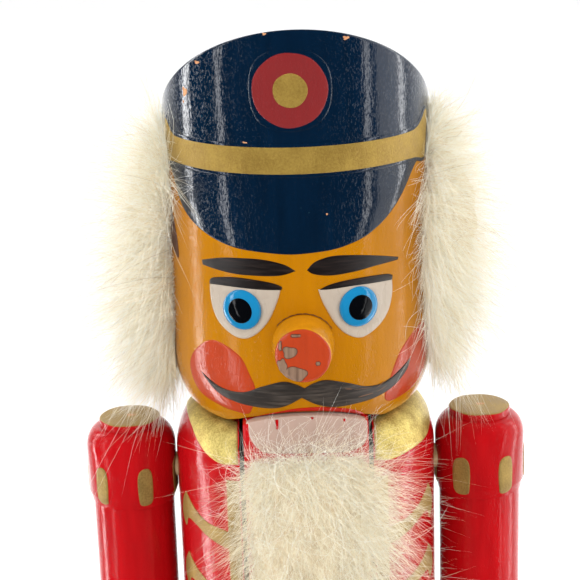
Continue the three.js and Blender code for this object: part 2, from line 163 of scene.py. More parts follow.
TURNED_SIDES = 192
LIMB_SIDES = 96
BEYOND = 100  # how far a cutter reaches past what it cuts
CORNER = True  # marks a point where a smooth outline turns sharply


# ---------------------------------------------------------------- mesh helpers

def new_piece(name, points, faces, materials, sharp_angle=35):
    """A smooth-shaded mesh object from points in millimetres."""
    mesh = bpy.data.meshes.new(name)
    mesh.from_pydata([tuple(float(c) * MM for c in point) for point in points], [], faces)
    for material in materials if isinstance(materials, list) else [materials]:
        mesh.materials.append(material)
    piece = bpy.data.objects.new(name, mesh)
    bpy.context.scene.collection.objects.link(piece)
    smooth(piece, sharp_angle)
    return piece


def smooth(piece, sharp_angle=35):
    mesh = piece.data
    mesh.polygons.foreach_set("use_smooth", [True] * len(mesh.polygons))
    mesh.set_sharp_from_angle(angle=math.radians(sharp_angle))


def face_outwards(piece):
    body = bmesh.new()
    body.from_mesh(piece.data)
    bmesh.ops.recalc_face_normals(body, faces=body.faces)
    body.to_mesh(piece.data)
    body.free()


def bake_modifiers(piece):
    depsgraph = bpy.context.evaluated_depsgraph_get()
    evaluated = bpy.data.meshes.new_from_object(piece.evaluated_get(depsgraph))
    piece.modifiers.clear()
    piece.data = evaluated


def combine(piece, cutter, operation):
    step = piece.modifiers.new("combine", "BOOLEAN")
    step.object = cutter
    step.operation = operation
    step.solver = "EXACT"
    bpy.context.view_layer.update()
    bake_modifiers(piece)
    bpy.data.objects.remove(cutter)


def carve(piece, *cutters):
    for cutter in cutters:
        combine(piece, cutter, "DIFFERENCE")
    smooth(piece)
    return piece


def soften_edges(piece, width=0.3, angle=50):
    """Rounds the cut edges a little, as sanding and paint do."""
    bevel = piece.modifiers.new("soften", "BEVEL")
    bevel.width = width * MM
    bevel.segments = 2
    bevel.limit_method = "ANGLE"
    bevel.angle_limit = math.radians(angle)
    bevel.use_clamp_overlap = True
    bake_modifiers(piece)
    smooth(piece)


def arc(centre_r, centre_z, radius_r, radius_z, start, end, steps):
    """Points of an elliptical arc, with angles in quarter turns."""
    angles = [(start + (end - start) * i / steps) * math.pi / 2 for i in range(steps + 1)]
    return [(centre_r + radius_r * math.cos(a), centre_z + radius_z * math.sin(a)) for a in angles]


def lathe(profile, sides=TURNED_SIDES, centre=(0, 0)):
    """Points and faces of a closed turning; the profile lists (radius, height) from the bottom up."""
    points, faces, rings = [], [], []
    for radius, height in profile:
        first = len(points)
        if radius < 1e-6:
            points.append((centre[0], centre[1], height))
            rings.append([first])
            continue
        for k in range(sides):
            turn = 2 * math.pi * k / sides
            x = centre[0] + radius * math.sin(turn)
            y = centre[1] - radius * math.cos(turn)
            points.append((x, y, height))
        rings.append(list(range(first, first + sides)))
    for low, high in zip(rings, rings[1:]):
        for k in range(sides):
            n = (k + 1) % sides
            if len(low) == 1:
                faces.append((low[0], high[n], high[k]))
            elif len(high) == 1:
                faces.append((low[k], low[n], high[0]))
            else:
                faces.append((low[k], low[n], high[n], high[k]))
    return points, faces


def rod(radius, start, end, centre, axis="Z"):
    """A cutter: a closed cylinder along one axis, centred on the other two coordinates."""
    points, faces = lathe([(0, start), (radius, start), (radius, end), (0, end)], 64)
    order = {"Z": (0, 1, 2), "X": (2, 0, 1), "Y": (1, 2, 0)}[axis]
    moved = []
    for point in points:
        turned_point = [point[i] for i in order]
        moved.append([a + b for a, b in zip(turned_point, centre)])
    cutter = new_piece("cutter", moved, faces, [])
    face_outwards(cutter)
    return cutter


def prism(name, outline, start, end, to_space, materials=()):
    """A closed prism: to_space(a, b, depth) places a point of the outline at a depth."""
    count = len(outline)
    points = [to_space(a, b, start) for a, b in outline] + [to_space(a, b, end) for a, b in outline]
    faces = [tuple(range(count)), tuple(range(2 * count - 1, count - 1, -1))]
    for k in range(count):
        n = (k + 1) % count
        faces.append((k, k + count, n + count, n))
    piece = new_piece(name, points, faces, list(materials))
    face_outwards(piece)
    return piece


def seen_from_side(y, z, x):
    return (x, y, z)


def seen_from_front(x, z, y):
    return (x, y, z)


def seen_from_above(x, y, z):
    return (x, y, z)


def flip_forwards(points, height):
    """Turns a lathe's points so that its axis points forwards (-Y) at a height."""
    return [(x, -z, height + y) for x, y, z in points]


def turn_about_axis(points, angle):
    """Turns points about the figure's axis; a positive angle goes towards +X from the front."""
    cos, sin = math.cos(angle), math.sin(angle)
    return [(x * cos - y * sin, x * sin + y * cos, z) for x, y, z in points]


# ---------------------------------------------------------------- surfaces that paint lies on

def head_radius(z):
    """Radius of the head at a height above the datum: a cylinder with a rounded chin."""
    rise = np.clip((np.asarray(z, float) + DATUM - HEAD_BOTTOM) / CHIN_HEIGHT, 0, 1)
    return HEAD_RADIUS - CHIN_INSET * (1 - np.sqrt(1 - (1 - rise) ** 2))


def on_head(s, z, lift):
    """s runs round the head from the middle of the face, towards +X."""
    angle = np.asarray(s) / HEAD_RADIUS
    radius = head_radius(z) + lift
    return np.stack([radius * np.sin(angle), -radius * np.cos(angle), z + DATUM + 0 * angle], -1)


SHOULDER_START = TORSO_TOP - SHOULDER_HEIGHT - DATUM
SHOULDER_ARC = 16.4  # length of the shoulder's curve, from the side of the trunk to its flat top


def torso_profile(v):
    """Radius, height and outward direction where v is the height, carried on along the shoulder."""
    turn = np.clip((np.asarray(v, float) - SHOULDER_START) / SHOULDER_ARC, 0, 1) * math.pi / 2
    radius = TORSO_RADIUS - SHOULDER_INSET * (1 - np.cos(turn))
    height = np.where(turn > 0, SHOULDER_START + SHOULDER_HEIGHT * np.sin(turn), v) + DATUM
    return radius, height, np.cos(turn), np.sin(turn)


def on_torso(s, v, lift):
    angle = np.asarray(s) / TORSO_RADIUS
    radius, height, outward, upward = torso_profile(v)
    reach = radius + lift * outward
    return np.stack([reach * np.sin(angle), -reach * np.cos(angle), height + lift * upward], -1)


def on_jaw(s, z, lift):
    angle = np.asarray(s) / JAW_RADIUS
    radius = JAW_RADIUS + lift
    return np.stack([radius * np.sin(angle), -radius * np.cos(angle), z + DATUM + 0 * angle], -1)


def arm_radius(z):
    """Radius of an arm at a height below its flat top."""
    heights = [-200, -ARM_CAP_END, -ARM_CAP_SIDE_END, -ARM_ROUND_END]
    return np.interp(z, heights, [ARM_RADIUS, ARM_RADIUS, ARM_CAP_RADIUS, ARM_CAP_RADIUS])


def on_arm(side):
    def place(s, z, lift):
        angle = np.asarray(s) / ARM_CAP_RADIUS
        radius = arm_radius(z) + lift
        x = side * ARM_X + radius * np.sin(angle)
        return np.stack([x, -radius * np.cos(angle), z + DATUM + 0 * angle], -1)
    return place


def on_flat_top(x, y, height):
    def place(a, b, lift):
        return np.stack([x + np.asarray(a), y + np.asarray(b), height + lift + 0 * a], -1)
    return place


# ---------------------------------------------------------------- painted shapes

def smooth_outline(points, step=0.5):
    """A closed curve through the points; a point's third value, CORNER, keeps it sharp."""
    count = len(points)
    flat = [np.array(point[:2], float) for point in points]
    sharp = [len(point) > 2 for point in points]
    curve = []
    for i in range(count):
        start, end = flat[i], flat[(i + 1) % count]
        before = 2 * start - end if sharp[i] else flat[i - 1]
        after = 2 * end - start if sharp[(i + 1) % count] else flat[(i + 2) % count]
        pieces = max(2, math.ceil(np.linalg.norm(end - start) / step))
        for k in range(pieces):
            t = k / pieces
            curve.append(0.5 * (
                2 * start
                + (end - before) * t
                + (2 * before - 5 * start + 4 * end - after) * t ** 2
                + (3 * start - before - 3 * end + after) * t ** 3
            ))
    return np.array(curve)


def ellipse_outline(x, y, radius_x, radius_y, wave=0.0, waves=5, squareness=0.0, steps=72):
    """A closed oval, with an optional hand-painted waver or squarish corners."""
    points = []
    for k in range(steps):
        turn = 2 * math.pi * k / steps
        reach = 1 + wave * math.sin(waves * turn + 1) + squareness * math.cos(4 * turn + math.pi)
        points.append((x + radius_x * reach * math.cos(turn), y + radius_y * reach * math.sin(turn)))
    return np.array(points)


def mirrored(points):
    """The same outline on the figure's right, in reverse order."""
    return [(-point[0],) + tuple(point[1:]) for point in reversed(points)]


def edge_distance(points, outline):
    """Distance of each point from the outline's edge."""
    starts = outline
    spans = np.roll(outline, -1, axis=0) - starts
    lengths = np.maximum((spans ** 2).sum(1), 1e-12)
    offset = points[:, None, :] - starts[None]
    share = np.clip((offset * spans).sum(2) / lengths, 0, 1)
    nearest = offset - share[..., None] * spans
    return np.sqrt((nearest ** 2).sum(2)).min(1)


def is_inside(points, outline):
    x, y = points[:, 0:1], points[:, 1:2]
    x0, y0 = outline[:, 0], outline[:, 1]
    x1, y1 = np.roll(x0, -1), np.roll(y0, -1)
    crosses = (y0 > y) != (y1 > y)
    reach = x0 + (y - y0) * (x1 - x0) / np.where(y1 == y0, 1e-12, y1 - y0)
    return (crosses & (x < reach)).sum(1) % 2 == 1


def signed_area(outline):
    x, y = outline[:, 0], outline[:, 1]
    return 0.5 * (x * np.roll(y, -1) - np.roll(x, -1) * y).sum()


def painted(name, outline, place, material, lift=0.0, thickness=0.13, rim=0.4, spacing=1.0, seat=0.25,
            relief=None, body="figure"):
    """A layer of paint: a thin closed shell with a rounded edge, wrapped on the surface below it.

    relief(points, distance) can give the height of each point instead of a plain rounded edge.
    """
    outline = np.asarray(outline, float)
    if signed_area(outline) < 0:
        outline = outline[::-1]
    normal = np.roll(outline, -1, axis=0) - np.roll(outline, 1, axis=0)
    normal = np.stack([-normal[:, 1], normal[:, 0]], 1)
    normal /= np.maximum(np.linalg.norm(normal, axis=1), 1e-9)[:, None]
    inner = []
    for share in (0.35, 1.0):
        ring = outline + normal * rim * share
        keep = is_inside(ring, outline) & (edge_distance(ring, outline) > rim * share * 0.93)
        inner.append(ring[keep])
    low, high = outline.min(0), outline.max(0)
    grid_x, grid_y = np.meshgrid(np.arange(low[0], high[0], spacing), np.arange(low[1], high[1], spacing))
    grid = np.stack([grid_x.ravel(), grid_y.ravel()], 1)
    grid = grid[is_inside(grid, outline)]
    if len(grid):
        grid = grid[edge_distance(grid, outline) > rim * 1.3]
    inner.append(grid)
    flat = np.concatenate([outline] + inner)
    loop = list(range(len(outline)))
    result = geometry.delaunay_2d_cdt([Vector(p) for p in flat], [], [loop], 1, 1e-5)
    flat = np.array([tuple(v) for v in result[0]])
    triangles = [tuple(f) for f in result[2]]
    distance = edge_distance(flat, outline)
    if relief is None:
        share = np.clip(distance / rim, 0, 1)
        heights = thickness * np.sqrt(1 - (1 - share) ** 2)
    else:
        heights = relief(flat, distance)
    top = place(flat[:, 0], flat[:, 1], lift + heights)
    bottom = place(flat[:, 0], flat[:, 1], lift - seat + 0 * heights)
    count = len(flat)
    faces = [(a, b, c) for a, b, c in triangles]
    faces += [(c + count, b + count, a + count) for a, b, c in triangles]
    directed = {(f[i], f[(i + 1) % 3]) for f in triangles for i in range(3)}
    faces += [(b, a, a + count, b + count) for a, b in directed if (b, a) not in directed]
    piece = new_piece(name, np.concatenate([top, bottom]), faces, material, 60)
    face_outwards(piece)
    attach(piece, body)
    return piece


# ---------------------------------------------------------------- materials

def srgb(red, green, blue):
    """A colour given as a screen colour, 0 to 255, in the linear values that shaders use."""
    def linear(value):
        value /= 255
        return value / 12.92 if value <= 0.04045 else ((value + 0.055) / 1.055) ** 2.4
    return (linear(red), linear(green), linear(blue), 1.0)


def darker(colour, share):
    return tuple(c * (1 - share) for c in colour[:3]) + (1.0,)


class Finish:
    """One procedural material, built round a Principled shader. Pattern scales are per millimetre."""

    def __init__(self, name):
        self.material = bpy.data.materials.new(name)
        self.material.use_nodes = True
        self.tree = self.material.node_tree
        self.shader = self.tree.nodes["Principled BSDF"]
        self.position = self.add("ShaderNodeTexCoord").outputs["Object"]

    def add(self, kind, **settings):
        node = self.tree.nodes.new(kind)
        for key, value in settings.items():
            setattr(node, key, value)
        return node

    def link(self, source, target):
        self.tree.links.new(source, target)

    def set(self, **values):
        for key, value in values.items():
            self.shader.inputs[key.replace("_", " ")].default_value = value

    def scaled(self, stretch):
        node = self.add("ShaderNodeVectorMath", operation="MULTIPLY")
        self.link(self.position, node.inputs[0])
        node.inputs[1].default_value = [value / MM for value in stretch]
        return node.outputs[0]

    def noise(self, scale, stretch=(1, 1, 1), detail=3.0, roughness=0.55):
        """Noise with a feature size of about 1 / scale millimetres, squeezed by stretch."""
        node = self.add("ShaderNodeTexNoise")
        self.link(self.scaled([scale * value for value in stretch]), node.inputs["Vector"])
        node.inputs["Scale"].default_value = 1.0
        node.inputs["Detail"].default_value = detail
        node.inputs["Roughness"].default_value = roughness
        return node.outputs["Fac"]

    def spread(self, value, low, high, start=0.0, end=1.0):
        """Maps a value from low..high onto start..end."""
        node = self.add("ShaderNodeMapRange")
        self.link(value, node.inputs["Value"])
        for key, number in zip(("From Min", "From Max", "To Min", "To Max"), (low, high, start, end)):
            node.inputs[key].default_value = number
        return node.outputs["Result"]

    def sum(self, first, second, operation="ADD"):
        node = self.add("ShaderNodeMath", operation=operation)
        for socket, value in zip(node.inputs, (first, second)):
            if isinstance(value, (int, float)):
                socket.default_value = value
            else:
                self.link(value, socket)
        return node.outputs[0]

    def mix(self, share, first, second):
        """A colour between first and second."""
        node = self.add("ShaderNodeMix", data_type="RGBA")
        self.link(share, node.inputs["Factor"])
        colours = [s for s in node.inputs if s.type == "RGBA"]
        for socket, colour in zip(colours, (first, second)):
            if isinstance(colour, tuple):
                socket.default_value = colour
            else:
                self.link(colour, socket)
        return next(s for s in node.outputs if s.type == "RGBA")

    def colour(self, source):
        self.link(source, self.shader.inputs["Base Color"])

    def roughness(self, source):
        self.link(source, self.shader.inputs["Roughness"])

    def bump(self, height, depth, strength=1.0):
        """Dents of the given depth in millimetres."""
        node = self.add("ShaderNodeBump")
        self.link(height, node.inputs["Height"])
        node.inputs["Distance"].default_value = depth * MM
        node.inputs["Strength"].default_value = strength
        self.link(node.outputs["Normal"], self.shader.inputs["Normal"])


def enamel(name, colour, shade=0.25, gloss=0.06, pits=0.03, shine=0.5, specks=None):
    """Brushed gloss enamel over turned wood: upright pores and specks that break up reflections."""
    finish = Finish(name)
    streaks = finish.noise(0.5, (1, 1, 0.12), 3)
    blotches = finish.noise(0.06, (1, 1, 0.6), 2)
    tone = finish.spread(finish.sum(streaks, blotches), 0.7, 1.35)
    base = finish.mix(tone, darker(colour, shade), colour)
    if specks is not None:
        dots = finish.spread(finish.noise(1.3, (1, 1, 0.8), 1), 0.79, 0.83)
        base = finish.mix(dots, base, specks)
    finish.colour(base)
    pores = finish.spread(finish.noise(3.2, (1, 1, 0.4), 2, 0.6), 0.57, 0.69)
    waves = finish.sum(finish.noise(0.4, (1, 1, 0.3), 2), 2.5, "MULTIPLY")
    ripples = finish.sum(finish.noise(1.7, (1, 1, 0.45), 2), 1.3, "MULTIPLY")
    finish.bump(finish.sum(finish.sum(waves, ripples), pores, "SUBTRACT"), pits)
    finish.roughness(finish.spread(finish.noise(0.35, (1, 1, 0.4), 3), 0.3, 0.75, gloss, gloss + 0.05))
    finish.set(Specular_IOR_Level=shine)
    return finish.material


def gold_paint(name, colour, bright, metal=0.65, gloss=0.36, grain=3.0):
    """Bronze-powder paint: fine sparkling flakes in a slightly uneven coat."""
    finish = Finish(name)
    flakes = finish.noise(grain, (1, 1, 1), 2, 0.7)
    patches = finish.noise(0.25, (1, 1, 0.7), 3)
    tone = finish.spread(finish.sum(flakes, patches), 0.75, 1.3)
    finish.colour(finish.mix(tone, colour, bright))
    finish.bump(flakes, 0.09)
    finish.roughness(finish.spread(patches, 0.3, 0.7, gloss, gloss + 0.16))
    finish.set(Metallic=metal)
    return finish.material


def brushed_black(name, colour, light):
    """Thin dark paint laid on with a small brush, whose hairs leave pale lines."""
    finish = Finish(name)
    strokes = finish.noise(1.9, (0.07, 0.07, 1), 3, 0.6)
    finish.colour(finish.mix(finish.spread(strokes, 0.46, 0.9), colour, light))
    finish.bump(strokes, 0.05)
    finish.roughness(finish.spread(strokes, 0.3, 0.7, 0.34, 0.6))
    return finish.material


def wood(name, pale, dark, gloss, across=0.9, along=0.035):
    """Straight-grained beech, with short dark rays."""
    finish = Finish(name)
    grain = finish.noise(across, (1, 1, along), 4, 0.6)
    rays = finish.spread(finish.noise(1.6, (1, 1, 0.16), 2), 0.62, 0.76)
    tone = finish.spread(grain, 0.35, 0.68)
    base = finish.mix(tone, pale, dark)
    finish.colour(finish.mix(finish.sum(rays, 0.5, "MULTIPLY"), base, darker(dark, 0.35)))
    finish.bump(grain, 0.12)
    finish.roughness(finish.spread(grain, 0.3, 0.7, gloss, gloss + 0.15))
    return finish.material


def steel(name):
    finish = Finish(name)
    scratches = finish.noise(2.0, (1, 1, 1), 3)
    finish.colour(finish.mix(scratches, srgb(150, 152, 155), srgb(205, 206, 208)))
    finish.roughness(finish.spread(scratches, 0.3, 0.7, 0.22, 0.42))
    finish.bump(scratches, 0.02)
    finish.set(Metallic=1.0)
    return finish.material


def glossy_button(name, colour, polish=0.5):
    """A cast, domed button with a faint cloud in its colour."""
    finish = Finish(name)
    clouds = finish.noise(0.5, (1, 1, 1), 2)
    finish.colour(finish.mix(clouds, darker(colour, 0.12), colour))
    finish.roughness(finish.spread(clouds, 0.3, 0.7, 0.06, 0.12))
    finish.bump(finish.noise(0.8, (1, 1, 1), 1), 0.05)
    finish.set(Specular_IOR_Level=polish)
    return finish.material


def fur_backing(name, light, deep):
    """The matted underfur between the hairs."""
    finish = Finish(name)
    tufts = finish.noise(0.5, (1, 1, 0.5), 3)
    hairs = finish.noise(3.5, (1, 1, 0.3), 3)
    finish.colour(finish.mix(finish.spread(finish.sum(tufts, hairs), 0.75, 1.25), deep, light))
    finish.bump(finish.sum(tufts, hairs), 0.9)
    finish.roughness(finish.spread(hairs, 0.3, 0.7, 0.85, 1.0))
    # Painted glow: the underfur gives off a little light of its own pale colour.
    finish.set(Emission_Color=light, Emission_Strength=FUR_PAINTED_GLOW)
    return finish.material


FUR_PAINTED_GLOW = 0.1  # painted glow: light the fur gives off itself, standing in for light that pale hairs pass on to each other


def hair_colours(prefix, colours):
    """Plain finishes, one of which each hair takes, so that the fur's colour varies hair by hair."""
    made = []
    for number, colour in enumerate(colours, 1):
        finish = Finish(f"{prefix}_{number}")
        # Painted glow: each hair gives off a little light of its own colour.
        finish.set(Base_Color=colour, Roughness=0.6, Emission_Color=colour, Emission_Strength=FUR_PAINTED_GLOW)
        made.append(finish.material)
    return made


RED = enamel("red_enamel", srgb(184, 14, 20), 0.25, 0.1, 0.03, 0.2)
NAVY = enamel("navy_enamel", srgb(3, 26, 48), 0.35, 0.035, 0.02, 0.45, srgb(32, 62, 72))
OCHRE = enamel("ochre_face_enamel", srgb(176, 112, 0), 0.14, 0.12, 0.03, 0.2)
NOSE_YELLOW = enamel("yellow_nose_enamel", srgb(200, 132, 20), 0.2, 0.1, 0.03, 0.35)
CORAL = enamel("coral_enamel", srgb(173, 60, 28), 0.2, 0.1, 0.03, 0.3)
COCKADE_RED = enamel("cockade_red_enamel", srgb(132, 20, 22), 0.15, 0.4)
LIP_RED = enamel("lip_red_enamel", srgb(188, 30, 12), 0.25, 0.2)
EYE_WHITE = enamel("eye_white_enamel", srgb(178, 164, 148), 0.1, 0.26)
TOOTH_WHITE = enamel("tooth_white_enamel", srgb(184, 156, 142), 0.14, 0.24)
# Dark brown for the rims of chips and the glue line round the nose, and also painted shade beside the hair at the
# right temple.
CHIP_RIM_AND_PAINTED_SHADE = enamel("chip_rim", srgb(84, 38, 20), 0.3, 0.4)
SCRATCH = enamel("scratch_ochre", srgb(134, 92, 62), 0.3, 0.4)
SKIN = enamel("skin_enamel", srgb(206, 140, 66), 0.2, 0.2)
BLACK = enamel("black_enamel", srgb(14, 13, 13), 0.3, 0.08)
BAND_GOLD = gold_paint("band_gold", srgb(142, 112, 42), srgb(170, 140, 60), 0.3, 0.42, 2.0)
SHOULDER_GOLD = gold_paint("shoulder_gold", srgb(162, 136, 62), srgb(230, 212, 128), 0.6, 0.34, 2.2)
BRAID_GOLD = gold_paint("braid_gold", srgb(134, 106, 50), srgb(174, 144, 76), 0.3, 0.42, 2.4)
BRUSHED_BLACK = brushed_black("brushed_black", srgb(44, 38, 34), srgb(96, 84, 74))
BROW_BLACK = brushed_black("brow_black", srgb(20, 11, 10), srgb(58, 40, 34))
BEECH = wood("varnished_beech", srgb(214, 166, 104), srgb(176, 122, 68), 0.25)
RAW_WOOD = wood("raw_wood", srgb(214, 158, 112), srgb(176, 116, 78), 0.7)
CHIPPED_WOOD = wood("chipped_wood", srgb(142, 112, 90), srgb(104, 78, 60), 0.7)
# Painted shade: raw wood darkened almost to black, for the inside of the slot where shade falls.
SHADED_SLOT_WOOD = wood("shaded_slot_wood", srgb(40, 26, 20), srgb(16, 11, 9), 0.85)
DOWEL_WOOD = wood("dowel_wood", srgb(222, 192, 146), srgb(198, 162, 112), 0.6)
STEEL = steel("screw_steel")
BLUE = glossy_button("blue_button", srgb(22, 122, 170))
PUPIL = glossy_button("pupil_black", srgb(5, 6, 9), 0.15)
FUR_BACKING = fur_backing("matted_underfur", srgb(238, 228, 200), srgb(208, 184, 146))
FUR_HAIRS = hair_colours("fur_hair", [
    srgb(247, 246, 236), srgb(243, 238, 217), srgb(236, 224, 194), srgb(216, 192, 154), srgb(152, 132, 110),
])
GUARD_HAIR = 4  # the dark, long hairs


def finish_hidden_nodes():
    """Dowels, pin and screws keep their CAD shape and get a real finish."""
    finishes = {"dowel": DOWEL_WOOD, "screw": STEEL, "pin": STEEL}
    for name, node in frame["nodes"].items():
        for word, material in finishes.items():
            if word in name:
                node.data.materials.clear()
                node.data.materials.append(material)


# ---------------------------------------------------------------- turned pieces

def paint_by_height(piece, bands):
    """Gives faces a material slot by their height: bands lists (top height, slot number)."""
    for polygon in piece.data.polygons:
        height = polygon.center.z / MM
        polygon.material_index = next(slot for top, slot in bands if height < top)


def place_piece(piece, node, body="figure"):
    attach(piece, body)
    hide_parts(node)
    return piece


def slanted_top(height, y):
    return height - y * CAP_SLOPE


def head_turning():
    low, top = HEAD_BOTTOM, CAP_TOP
    profile = [(0, low), (12, low)]
    profile += arc(HEAD_RADIUS - CHIN_INSET, low + CHIN_HEIGHT, CHIN_INSET, CHIN_HEIGHT, -1, 0, 16)
    profile += [(HEAD_RADIUS, top - CAP_BEVEL)]
    profile += arc(HEAD_RADIUS - CAP_BEVEL, top - CAP_BEVEL, CAP_BEVEL, CAP_BEVEL, 0, 1, 4)[1:]
    profile += [(16, top), (0, top)]
    points, faces = lathe(profile)
    sheared = []
    for x, y, z in points:
        sheared.append((x, y, slanted_top(z, y) if z > low + CHIN_HEIGHT + 1 else z))
    piece = new_piece("head_turning", sheared, faces, OCHRE)
    mouth = rod(MOUTH_RADIUS, 0, BEYOND, (0, 0, MOUTH_AXIS), "Y")
    mouth.data.transform(Matrix.Translation((0, -BEYOND * MM, 0)))
    carve(piece, mouth)
    soften_edges(piece)
    return place_piece(piece, "head")


def torso_turning():
    radius, low, top = TORSO_RADIUS, TORSO_BOTTOM, TORSO_TOP
    waist = radius - BELT_DEPTH
    profile = [(0, low), (radius - 1.5, low)] + arc(radius - 1.5, low + 1.5, 1.5, 1.5, -1, 0, 4)
    profile += [(radius, BELT_BOTTOM - BELT_DEPTH), (waist, BELT_BOTTOM)]
    profile += [(waist, BELT_TOP), (radius, BELT_TOP + BELT_DEPTH)]
    profile += arc(radius - SHOULDER_INSET, top - SHOULDER_HEIGHT, SHOULDER_INSET, SHOULDER_HEIGHT, 0, 1, 20)
    profile += [(0, top)]
    points, faces = lathe(profile)
    piece = new_piece("torso_turning", points, faces, [RED, BLACK, SHADED_SLOT_WOOD])
    slot = [
        (-BEYOND, SLOT_FLOOR - BEYOND * SLOT_FLOOR_SLOPE),
        (BEYOND, SLOT_FLOOR + BEYOND * SLOT_FLOOR_SLOPE),
        (BEYOND, SLOT_ROOF + BEYOND * SLOT_ROOF_SLOPE),
        (0, SLOT_ROOF),
        (0, top + 1),
        (-BEYOND, top + 1),
    ]
    cutter = prism("cutter", slot, -SLOT_HALF, SLOT_HALF, seen_from_side)
    pin_hole = rod(2.15, -BEYOND, BEYOND, (0, PIVOT_Y, PIVOT_Z), "X")
    carve(piece, cutter, pin_hole)
    # Faces inside the slot take the near-black wood, which is painted shade.
    for polygon in piece.data.polygons:
        x, y, height = (c / MM for c in polygon.center)
        outside = math.hypot(x, y) > waist - 1
        in_belt = BELT_BOTTOM - 0.5 < height < BELT_TOP + 0.5
        in_slot = abs(x) < SLOT_HALF + 0.1 and SLOT_FLOOR - 10 < height < top - 0.1 and not outside
        polygon.material_index = 1 if in_belt and outside else 2 if in_slot else 0
    soften_edges(piece)
    return place_piece(piece, "torso")


def jaw_lever():
    inner, outer, tip, taper_start, shoulder = 35.2, 42, HANDLE_TIP, 182, 221.5
    half, tip_half, tip_round = JAW_HALF, 10.5, 4
    front = -TORSO_RADIUS - 1
    side_view = [
        (front, 186), (PIVOT_Y, 191), (inner, 191), (inner, tip + 3), (inner + 3, tip),
        (outer - 1, tip), (outer + 1, tip + 3), (outer, taper_start), (outer - 1, shoulder - 8),
        (inner - 1, shoulder), (-2, shoulder), (-2, 250), (front, 250),
    ]
    piece = prism("jaw_lever_board", side_view, -half, half, seen_from_side, [RED])
    plan = arc(0, 0, JAW_RADIUS, JAW_RADIUS, -2, 0, 64) + [(JAW_RADIUS, 60), (-JAW_RADIUS, 60)]
    combine(piece, prism("cutter", plan, 100, 300, seen_from_above), "INTERSECT")
    arch_start = math.acos(half / JAW_ARCH_RADIUS) / (math.pi / 2)
    front_view = arc(tip_half - tip_round, tip + tip_round, tip_round, tip_round, -1, 0, 6)
    front_view += [(half, taper_start)]
    front_view += arc(0, MOUTH_AXIS, JAW_ARCH_RADIUS, JAW_ARCH_RADIUS, arch_start, 2 - arch_start, 48)
    front_view += [(-half, taper_start)]
    front_view += arc(tip_round - tip_half, tip + tip_round, tip_round, tip_round, 2, 3, 6)
    combine(piece, prism("cutter", front_view, -BEYOND, BEYOND, seen_from_front), "INTERSECT")
    ball = [(0, 238)] + arc(0, 250, 12, 12, -1, 1, 24)[1:-1] + [(0, 262)]
    points, faces = lathe(ball, 64, (0, -15))
    pocket = new_piece("cutter", points, faces, [])
    pin_hole = rod(2.1, -BEYOND, BEYOND, (0, PIVOT_Y, PIVOT_Z), "X")
    carve(piece, pocket, pin_hole)
    soften_edges(piece, 0.25)
    return place_piece(piece, "jaw_lever", "lever")


def arm_turning(side_name, side):
    low, top = ARM_BOTTOM, ARM_HIGH[2]
    round_height = ARM_ROUND_END - ARM_NECK_HEIGHT
    profile = [(0, low), (CUFF_RADIUS - 0.5, low)] + arc(CUFF_RADIUS - 0.5, low + 0.5, 0.5, 0.5, -1, 0, 3)
    profile += arc(CUFF_RADIUS - 0.5, low + CUFF_HEIGHT - 0.5, 0.5, 0.5, 0, 1, 3)
    profile += [(ARM_RADIUS, low + CUFF_HEIGHT + 0.2), (ARM_RADIUS, top - ARM_CAP_END)]
    profile += [(ARM_RADIUS + 0.35, top - ARM_CAP_END + 0.15), (ARM_CAP_RADIUS - 0.25, top - ARM_CAP_SIDE_END - 0.5)]
    profile += [(ARM_CAP_RADIUS, top - ARM_CAP_SIDE_END)]
    profile += arc(ARM_NECK_RADIUS, top - ARM_ROUND_END, ARM_CAP_RADIUS - ARM_NECK_RADIUS, round_height, 0, 1, 14)
    profile += [(ARM_NECK_RADIUS, top - ARM_NECK_HEIGHT + 0.15), (ARM_NECK_RADIUS, top - 0.25)]
    profile += [(ARM_NECK_RADIUS - 0.25, top), (0, top)]
    points, faces = lathe(profile, LIMB_SIDES, (side * ARM_X, 0))
    piece = new_piece(f"arm_{side_name}_turning", points, faces, [RED, BRAID_GOLD], 40)
    paint_by_height(piece, [(low + CUFF_HEIGHT + 0.15, 1), (1000, 0)])
    return place_piece(piece, f"arm_{side_name}")


def hand_turning(side_name, side):
    radius = (HAND_HIGH[0] - HAND_LOW[0]) / 2
    low = HAND_LOW[2]
    wrist = 6.8
    top = ARM_BOTTOM - 0.3
    wrist_turn = math.acos(wrist / radius) / (math.pi / 2)
    profile = arc(0, low + radius, radius, radius, -1, wrist_turn, 24)
    profile[0] = (0, low)
    profile += [(wrist, top), (3, top), (3, top + 10), (0, top + 10)]
    points, faces = lathe(profile, LIMB_SIDES, (side * ARM_X, 0))
    piece = new_piece(f"hand_{side_name}_turning", points, faces, SKIN, 45)
    return place_piece(piece, f"hand_{side_name}")


def leg_turning(side_name, side):
    low, top = LEG_BOTTOM, LEG_BOTTOM + LEG_LENGTH
    cuff = low + BOOT_HEIGHT
    shaft, ankle, knee, hip, sole = 13.6, 12.8, 13.2, 14.2, 14.6
    profile = [(0, low), (sole - 0.8, low)] + arc(sole - 0.8, low + 0.8, 0.8, 0.8, -1, 0, 3)
    profile += arc(sole - 0.8, low + SOLE_HEIGHT - 0.8, 0.8, 0.8, 0, 1, 4)
    profile += [(shaft, low + SOLE_HEIGHT + 0.3)]
    for k in range(1, 13):
        share = k / 12
        swing = 0.5 - 0.5 * math.cos(math.pi * share)
        profile.append((shaft + (ankle - shaft) * swing, low + SOLE_HEIGHT + 26 * share))
    profile += [(shaft, cuff - 4.4)] + arc(shaft, cuff, 1, 3.4, -1, 1, 10)
    profile += [(knee, cuff + 3.8), (knee, cuff + 4.6), (hip, low + LEG_LENGTH * 0.8), (hip, top), (0, top)]
    points, faces = lathe(profile, LIMB_SIDES, (side * LEG_X, 0))
    piece = new_piece(f"leg_{side_name}_turning", points, faces, [BLACK, NAVY, BAND_GOLD], 40)
    paint_by_height(piece, [(cuff - 3.4, 0), (cuff + 3.5, 2), (1000, 1)])
    return place_piece(piece, f"leg_{side_name}")


